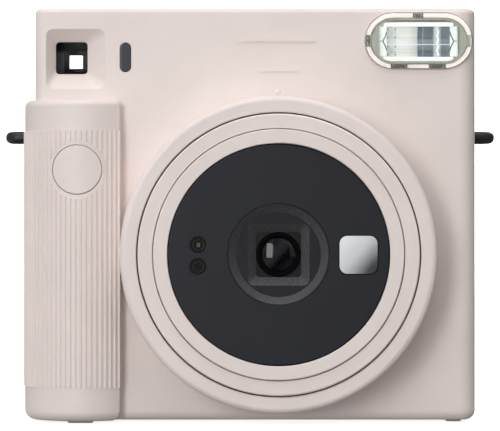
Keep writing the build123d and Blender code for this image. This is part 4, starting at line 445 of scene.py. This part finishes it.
# ---------------------------------------- inside the flash
REFLECTOR_LOW, REFLECTOR_HIGH = (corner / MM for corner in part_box("flash_reflector"))
WINDOW_LOW, WINDOW_HIGH = (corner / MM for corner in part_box("flash_window"))
FLASH_MIDDLE_Z = (WINDOW_LOW.z + WINDOW_HIGH.z) / 2
PLATE_Y = (REFLECTOR_LOW.y - 0.55, REFLECTOR_LOW.y - 0.25)
BAR_Y = (REFLECTOR_LOW.y - 1.5, REFLECTOR_LOW.y - 0.8)
END_PLATE = 2.1
END_PLATE_INSET = 0.1
END_PLATE_BOTTOM = 1.6
END_PLATE_TOP = 1.2
MARK_LIFT = 0.1  # the marks stand this far off their plate
BRACKET = [(0.0, 2.7), (0.25, 1.6), (0.75, 0.8), (1.1, 0.0), (0.75, -0.8), (0.25, -1.6), (0.0, -2.7)]
BRACKET_RADIUS = 0.16
SLIT = (1.1, 1.6, 2.0)
SLIT_RADIUS = 0.1
BAR_INSET = 1.2
BAR_HEIGHT = 1.3
BAR_LIFT = 0.2
TICK_COLUMNS = (2.5, 4.7)
TICK_ROWS = (3.4, 1.1, -1.6, -3.9)
TICK_HALF_WIDTH = 0.16
TICK_HALF_HEIGHT = 0.22


def glowing(material, colour):
    """The material with the faint glow of the light gathered around it."""
    sockets = material.node_tree.nodes["Principled BSDF"].inputs
    sockets["Emission Color"].default_value = colour
    sockets["Emission Strength"].default_value = GATHERED_LIGHT
    return material


WHITE = linear(245, 248, 244)
PALE = linear(232, 237, 233)
white_plastic = glowing(moulded("flash_white", WHITE, roughness=(0.3, 0.4), spread=0.02), WHITE)
pale_plate = glowing(moulded("flash_plate", PALE, roughness=(0.3, 0.4), spread=0.04), PALE)
dark_mark = moulded("flash_mark", linear(66, 72, 78), roughness=(0.4, 0.5), spread=0.1)
clip_olive = moulded("flash_clip", linear(44, 47, 34), roughness=(0.3, 0.45), spread=0.12)
# Painted highlights: pale lines across the ends of each dark clip.
clip_highlight = polished("flash_clip_highlight", linear(150, 152, 112))


def flash_end(side):
    """The end plate, its bracket-shaped slot and the marks beside it."""
    outer = REFLECTOR_LOW.x + END_PLATE_INSET if side < 0 else REFLECTOR_HIGH.x - END_PLATE_INSET
    inner = outer - side * END_PLATE
    tag = "left" if side < 0 else "right"
    z_span = (REFLECTOR_LOW.z + END_PLATE_BOTTOM, REFLECTOR_HIGH.z - END_PLATE_TOP)
    slab(f"flash_end_{tag}", sorted((outer, inner)), PLATE_Y, z_span, pale_plate, edge=0.1)
    front = PLATE_Y[0] - MARK_LIFT
    bracket = [(inner + side * across, front, FLASH_MIDDLE_Z + up) for across, up in BRACKET]
    wire(f"flash_bracket_{tag}", bracket, BRACKET_RADIUS, dark_mark)
    slit = [(inner + side * across, front, FLASH_MIDDLE_Z) for across in SLIT]
    wire(f"flash_slit_{tag}", slit, SLIT_RADIUS, dark_mark)


flash_end(-1)
flash_end(1)
for tag, bottom in (("top", REFLECTOR_HIGH.z - BAR_HEIGHT), ("bottom", REFLECTOR_LOW.z + BAR_LIFT)):
    slab(
        f"flash_bar_{tag}",
        (REFLECTOR_LOW.x + BAR_INSET, REFLECTOR_HIGH.x - BAR_INSET),
        BAR_Y,
        (bottom, bottom + BAR_HEIGHT),
        white_plastic,
        edge=0.25,
    )

for column, across in enumerate(TICK_COLUMNS):
    for row, up in enumerate(TICK_ROWS):
        x = REFLECTOR_LOW.x + across
        z = FLASH_MIDDLE_Z + up
        slab(
            f"flash_tick_{column}_{row}",
            (x - TICK_HALF_WIDTH, x + TICK_HALF_WIDTH),
            PLATE_Y,
            (z - TICK_HALF_HEIGHT, z + TICK_HALF_HEIGHT),
            dark_mark,
            edge=0.05,
        )

RIPPLE_STEPS = 25
RIPPLE_STEP = 0.35
RIPPLE_SWING = 0.2
RIPPLE_Y = REFLECTOR_LOW.y + 0.6
RIPPLE_BOTTOM = FLASH_MIDDLE_Z - 4.2
RIPPLE_RADIUS = 0.3
ripple_x = REFLECTOR_LOW.x + 0.75 * (REFLECTOR_HIGH.x - REFLECTOR_LOW.x)
ripple = []
for step in range(RIPPLE_STEPS):
    swing = RIPPLE_SWING * math.sin(step * math.pi / 3)
    ripple.append((ripple_x + swing, RIPPLE_Y, RIPPLE_BOTTOM + step * RIPPLE_STEP))
wire("flash_ripple", ripple, RIPPLE_RADIUS, white_plastic)

LINE_POINTS = 9
LINE_PITCH = 2.3
LINE_Z = FLASH_MIDDLE_Z - 0.95
LINE_RADIUS = 0.09
line_start = REFLECTOR_LOW.x + END_PLATE
middle_line = [(line_start + step * LINE_PITCH, PLATE_Y[1], LINE_Z) for step in range(LINE_POINTS)]
wire("flash_middle_line", middle_line, LINE_RADIUS, white_plastic)

PILL_STEPS = 16

def pill(low_x, high_x, low_z, high_z, y):
    """Points around a shape with half-round ends."""
    radius = (high_z - low_z) / 2
    middle = (high_z + low_z) / 2
    points = []
    for centre_x, start in ((high_x - radius, -math.pi / 2), (low_x + radius, math.pi / 2)):
        for step in range(PILL_STEPS + 1):
            angle = start + math.pi * step / PILL_STEPS
            points.append((centre_x + radius * math.cos(angle), y, middle + radius * math.sin(angle)))
    return points


rim_shadow = moulded("rim_shadow", linear(120, 106, 100), roughness=(0.5, 0.6), spread=0.05)
OUTLINE_GAP = 0.05  # the outer line runs this far outside the window
OUTLINE_RADIUS = 0.08
OUTLINE_Y = WINDOW_HIGH.y
outer_line = pill(
    WINDOW_LOW.x - OUTLINE_GAP,
    WINDOW_HIGH.x + OUTLINE_GAP,
    WINDOW_LOW.z - OUTLINE_GAP,
    WINDOW_HIGH.z + OUTLINE_GAP,
    OUTLINE_Y,
)
wire("flash_outer_line", outer_line, OUTLINE_RADIUS, rim_shadow, smooth=False, closed=True)

INLINE_LIMITS = (34.8, 62.6, 103.2, 116.5)  # left, right, bottom and top of the line inside the window
INLINE_RADIUS = 0.06
INLINE_DEPTH = 0.47
inner_line = pill(*INLINE_LIMITS, WINDOW_HIGH.y - INLINE_DEPTH)
wire("flash_inner_line", inner_line, INLINE_RADIUS, rim_shadow, smooth=False, closed=True)

# The left, right, bottom and top of each clip that holds the window.
CLIP_LIMITS = [
    (46.8, 49.8, 116.55, 117.6),
    (33.6, 34.5, 108.4, 111.4),
    (40.6, 45.2, 102.3, 103.35),
    (51.5, 56.2, 102.3, 103.35),
]
CLIP_HIGHLIGHT_INSET = 0.55
CLIP_HIGHLIGHT_RADIUS = 0.12
CLIP_Y = (WINDOW_HIGH.y - 0.53, WINDOW_HIGH.y - 0.41)
for index, (left, right, bottom, top) in enumerate(CLIP_LIMITS):
    slab(f"flash_clip_{index}", (left, right), CLIP_Y, (bottom, top), clip_olive, edge=0.04)
    upright = right - left < top - bottom
    # Two lines of painted highlight near the ends of each clip.
    for end in (0, 1):
        if upright:
            height = (bottom + CLIP_HIGHLIGHT_INSET, top - CLIP_HIGHLIGHT_INSET)[end]
            line = [(left, CLIP_Y[0], height), (right, CLIP_Y[0], height)]
        else:
            across = (left + CLIP_HIGHLIGHT_INSET, right - CLIP_HIGHLIGHT_INSET)[end]
            line = [(across, CLIP_Y[0], bottom), (across, CLIP_Y[0], top)]
        wire(f"flash_clip_highlight_{index}_{end}", line, CLIP_HIGHLIGHT_RADIUS, clip_highlight, smooth=False)

SURROUND_GAP = 0.1
SURROUND_Y = REFLECTOR_LOW.y + 0.2
SURROUND_RADIUS = 0.24
sides_x = (REFLECTOR_LOW.x - SURROUND_GAP, REFLECTOR_HIGH.x + SURROUND_GAP)
sides_z = (REFLECTOR_LOW.z - SURROUND_GAP, REFLECTOR_HIGH.z + SURROUND_GAP)
surround = [(sides_x[i], SURROUND_Y, sides_z[j]) for i, j in ((0, 0), (1, 0), (1, 1), (0, 1))]
wire("flash_surround", surround, SURROUND_RADIUS, pale_plate, smooth=False, closed=True)


# ---------------------------------------- rims around the two sensors
RING_SIDES = 48
RIM_INSET = 0.08
RIM_RADIUS = 0.06
STEP_SHARE = 0.6  # the step's radius as a share of the sensor's
STEP_DEPTH = 0.03
STEP_RADIUS = 0.05


def ring(name, centre, radius, y, thickness, material, body):
    """A round wire bent into a circle that faces forward."""
    points = []
    for step in range(RING_SIDES):
        angle = step / RING_SIDES * 2 * math.pi
        points.append((centre[0] + radius * math.cos(angle), y, centre[1] + radius * math.sin(angle)))
    wire(name, points, thickness, material, body=body, smooth=False, closed=True)


FACE_BODY = body_of(NODES["face_plate"])[0]
rim_glint = polished("sensor_rim", linear(66, 66, 72))
for tag, node in (("light", "light_sensor_ring"), ("range", "range_sensor_window")):
    low, high = (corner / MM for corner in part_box(node))
    centre = ((low.x + high.x) / 2, (low.z + high.z) / 2)
    outer = (high.x - low.x) / 2
    for part, radius, depth, thickness in (
        ("rim", outer - RIM_INSET, 0.0, RIM_RADIUS),
        ("step", outer * STEP_SHARE, STEP_DEPTH, STEP_RADIUS),
    ):
        name = f"{tag}_sensor_{part}"
        ring(name, centre, radius, low.y + depth, thickness, rim_glint, FACE_BODY)


# ---------------------------------------- numbers on the film counter's dial
DIGIT_HEIGHT = 2.8
DIGIT_RADIUS = 5.1
DIGIT_PITCH = math.radians(30)
DIGIT_THICKNESS = 0.02
DIGIT_LIFT = 0.03
DIAL_BODY = body_of(NODES["counter_dial"])[0]
ink = moulded("counter_ink", linear(40, 40, 46), roughness=(0.5, 0.6), spread=0.05)
dial_low, dial_high = (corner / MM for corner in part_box("counter_dial"))
dial_centre = (dial_low + dial_high) / 2
for digit in range(10):
    words = bpy.data.curves.new(f"counter_digit_{digit}", "FONT")
    words.body = str(digit)
    words.size = DIGIT_HEIGHT * MM
    words.extrude = DIGIT_THICKNESS * MM
    words.align_x = "CENTER"
    words.align_y = "CENTER"
    holder = bpy.data.objects.new(words.name, words)
    bpy.context.scene.collection.objects.link(holder)
    bpy.context.view_layer.update()
    mesh = bpy.data.meshes.new_from_object(holder)
    mesh.name = words.name
    bpy.data.objects.remove(holder)
    # Stand the digit up to be read from behind, lift it to the top of the dial, then turn it to its place.
    stand = Matrix.Rotation(math.pi, 4, "Z") @ Matrix.Rotation(math.pi / 2, 4, "X")
    lift = Matrix.Translation((0.0, 0.0, DIGIT_RADIUS * MM))
    turn = Matrix.Rotation(-digit * DIGIT_PITCH, 4, "Y")
    place = Matrix.Translation((dial_centre.x * MM, (dial_high.y + DIGIT_LIFT) * MM, dial_centre.z * MM))
    mesh.transform(place @ turn @ lift @ stand)
    show(words.name, mesh, ink, DIAL_BODY)


# ---------------------------------------- small parts on the circuit board
CHIP_HEIGHT = 1.4
CHIP_TOP_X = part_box("main_board")[1].x / MM
BOARD_FACE_X = CHIP_TOP_X - CHIP_HEIGHT
SUNK = 0.05  # small parts start this far inside what they stand on
CHIP_TOP_LIFT = 0.1
CHIP_PLACES = [(4.0, 70.0, 8.0, 8.0), (14.0, 52.0, 6.0, 10.0), (6.0, 30.0, 5.0, 5.0)]  # y, z, width, height
RESISTOR_COLUMNS = [(18.5, 20.0), (0.5, 36.0)]  # y, and z of the lowest one
RESISTORS_IN_COLUMN = 7
RESISTOR_PITCH = 4.0
RESISTOR_HALF_LENGTH = 0.8
RESISTOR_HALF_WIDTH = 0.4
RESISTOR_HEIGHT = 0.5
chip_black = moulded("chip_black", linear(30, 30, 33), roughness=(0.45, 0.6), spread=0.1)
resistor_tan = moulded("resistor_tan", linear(150, 128, 100), roughness=(0.4, 0.5), spread=0.1)
for index, (y, z, width, height) in enumerate(CHIP_PLACES):
    slab(
        f"chip_{index}",
        (CHIP_TOP_X - SUNK, CHIP_TOP_X + CHIP_TOP_LIFT),
        (y - width / 2, y + width / 2),
        (z - height / 2, z + height / 2),
        chip_black,
        edge=0.03,
    )
for column, (y, first_z) in enumerate(RESISTOR_COLUMNS):
    for row in range(RESISTORS_IN_COLUMN):
        z = first_z + RESISTOR_PITCH * row
        slab(
            f"resistor_{column}_{row}",
            (BOARD_FACE_X - SUNK, BOARD_FACE_X + RESISTOR_HEIGHT),
            (y - RESISTOR_HALF_LENGTH, y + RESISTOR_HALF_LENGTH),
            (z - RESISTOR_HALF_WIDTH, z + RESISTOR_HALF_WIDTH),
            resistor_tan,
            edge=0.1,
        )


# ---------------------------------------- lines and panel on the back of the film pack
pack_low, pack_high = (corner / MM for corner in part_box("film_pack"))
PACK_BODY = body_of(NODES["film_pack"])[0]
pack_yellow = moulded("pack_yellow", linear(214, 176, 40), roughness=(0.4, 0.5), spread=0.04)
pack_panel = moulded("pack_panel", linear(52, 52, 56), roughness=(0.55, 0.7), spread=0.06)
PACK_SKIN = (pack_high.y - 0.08, pack_high.y + 0.06)
GUIDE_LINE_FAR = 22.0  # the guide line's ends, in from the pack's edge
GUIDE_LINE_NEAR = 6.0
GUIDE_LINE_LOW = 5.2
GUIDE_LINE_HIGH = 4.0
PANEL_SIDE_INSET = 12.0
PANEL_END_INSET = 26.0
slab(
    "pack_guide_line",
    (pack_high.x - GUIDE_LINE_FAR, pack_high.x - GUIDE_LINE_NEAR),
    PACK_SKIN,
    (pack_high.z - GUIDE_LINE_LOW, pack_high.z - GUIDE_LINE_HIGH),
    pack_yellow,
    body=PACK_BODY,
    edge=0.03,
)
slab(
    "pack_panel",
    (pack_low.x + PANEL_SIDE_INSET, pack_high.x - PANEL_SIDE_INSET),
    PACK_SKIN,
    (pack_low.z + PANEL_END_INSET, pack_high.z - PANEL_END_INSET),
    pack_panel,
    body=PACK_BODY,
    edge=0.03,
)


# ---------------------------------------- studio: pale floor and backdrop, soft light
FLOOR_COLOUR = linear(246, 245, 244)
PAPER_GLOW = 0.8
WALL_RADIUS = 11.0  # metres, like the rest of the studio
WALL_HEIGHT = 8.0
WALL_SIDES = 96
FLOOR_HALF_WIDTH = 12.0
FLOOR_FRONT = -20.0
CURVE_START = 2.8
CURVE_RADIUS = 0.6
CURVE_STEPS = 24
BACKDROP_TOP = 2.4


def paper_material():
    """White studio paper with a glow of its own, so that it stays white."""
    paper = moulded(
        "stage_paper",
        FLOOR_COLOUR,
        grain_mm=2.0,
        depth_mm=0.02,
        roughness=(0.7, 0.8),
        spread=0.004,
    )
    glow = paper.node_tree.nodes["Principled BSDF"].inputs
    glow["Emission Color"].default_value = FLOOR_COLOUR
    glow["Emission Strength"].default_value = PAPER_GLOW
    return paper


STAGE_PAPER = paper_material()


def paper_sheet(name, vertices, faces):
    """One sheet of the studio. It gives no reflection and no bounce light."""
    mesh = bpy.data.meshes.new(name)
    mesh.from_pydata(vertices, [], faces)
    for polygon in mesh.polygons:
        polygon.use_smooth = True
    mesh.materials.append(STAGE_PAPER)
    sheet = bpy.data.objects.new(name, mesh)
    sheet.visible_glossy = False
    sheet.visible_diffuse = False
    bpy.context.scene.collection.objects.link(sheet)
    return sheet


def round_wall():
    """A far wall all round the floor. It casts no shadow."""
    vertices = []
    for index in range(WALL_SIDES):
        angle = index / WALL_SIDES * 2 * math.pi
        for z in (0.0, WALL_HEIGHT):
            vertices.append((WALL_RADIUS * math.cos(angle), WALL_RADIUS * math.sin(angle), z))
    count = len(vertices)
    faces = [(i, (i + 2) % count, (i + 3) % count, i + 1) for i in range(0, count, 2)]
    wall = paper_sheet("round_wall", vertices, faces)
    wall.visible_shadow = False


def sweep_stage():
    """A floor that curves up into a backdrop behind the object."""
    profile = [(FLOOR_FRONT, 0.0), (CURVE_START, 0.0)]
    for index in range(1, CURVE_STEPS + 1):
        angle = index / CURVE_STEPS * math.pi / 2
        profile.append((CURVE_START + CURVE_RADIUS * math.sin(angle), CURVE_RADIUS * (1 - math.cos(angle))))
    profile.append((CURVE_START + CURVE_RADIUS, BACKDROP_TOP))
    vertices = [(side * FLOOR_HALF_WIDTH, y, z) for y, z in profile for side in (-1, 1)]
    faces = [(2 * i, 2 * i + 1, 2 * i + 3, 2 * i + 2) for i in range(len(profile) - 1)]
    paper_sheet("stage", vertices, faces)


sweep_stage()
round_wall()


def area_light(name, location, target, size, power):
    """A soft rectangular lamp that points at a target, its power in watts."""
    data = bpy.data.lights.new(name, "AREA")
    data.shape = "RECTANGLE"
    data.size, data.size_y = size
    data.energy = power
    light = bpy.data.objects.new(name, data)
    light.location = location
    direction = Vector(target) - Vector(location)
    light.rotation_euler = direction.to_track_quat("-Z", "Y").to_euler()
    bpy.context.scene.collection.objects.link(light)


CENTRE = (0.0, 0.0, 0.06)
area_light("key", (-0.9, -1.2, 0.9), CENTRE, (1.2, 1.4), 1.2)
area_light("window", (-0.55, -1.4, 0.3), CENTRE, (0.42, 0.95), 9.0)
area_light("fill", (1.3, -1.2, 0.5), CENTRE, (1.2, 1.2), 2.6)
area_light("top", (-0.1, -0.35, 1.3), CENTRE, (1.0, 0.8), 8.0)
area_light("rear", (0.8, 1.6, 1.1), CENTRE, (1.2, 1.0), 10.0)
area_light("back_wall", (0.0, 2.2, 1.3), (0.0, 3.4, 0.6), (3.0, 0.8), 45.0)

world = bpy.data.worlds.new("studio")
bpy.context.scene.world = world
world.use_nodes = True
GRADIENT_AXIS = (-0.756, 0.0, 0.655)  # from the lower right of the studio to its upper left
# The light's level along that axis, from its lower right end at 0 to its upper left end at 1.
GRADIENT = [
    (0.0, 0.25), (0.22, 0.2), (0.335, 0.03), (0.4, 0.06),
    (0.487, 0.58), (0.58, 0.78), (0.7, 0.4), (1.0, 0.4),
]


def light_gradient(tree):
    """Colour the world by how far each direction lies along the gradient's axis."""
    direction = tree.nodes.new("ShaderNodeTexCoord").outputs["Generated"]
    along = tree.nodes.new("ShaderNodeVectorMath")
    along.operation = "DOT_PRODUCT"
    along.inputs[1].default_value = GRADIENT_AXIS
    tree.links.new(direction, along.inputs[0])
    spread = tree.nodes.new("ShaderNodeMapRange")
    spread.inputs["From Min"].default_value = -1.0
    tree.links.new(along.outputs["Value"], spread.inputs["Value"])
    ramp = tree.nodes.new("ShaderNodeValToRGB")
    for position, _ in GRADIENT[2:]:
        ramp.color_ramp.elements.new(position)
    for element, (position, level) in zip(ramp.color_ramp.elements, GRADIENT):
        element.position = position
        element.color = (level, level, level, 1.0)
    tree.links.new(spread.outputs["Result"], ramp.inputs["Fac"])
    tree.links.new(ramp.outputs["Color"], tree.nodes["Background"].inputs["Color"])


light_gradient(world.node_tree)
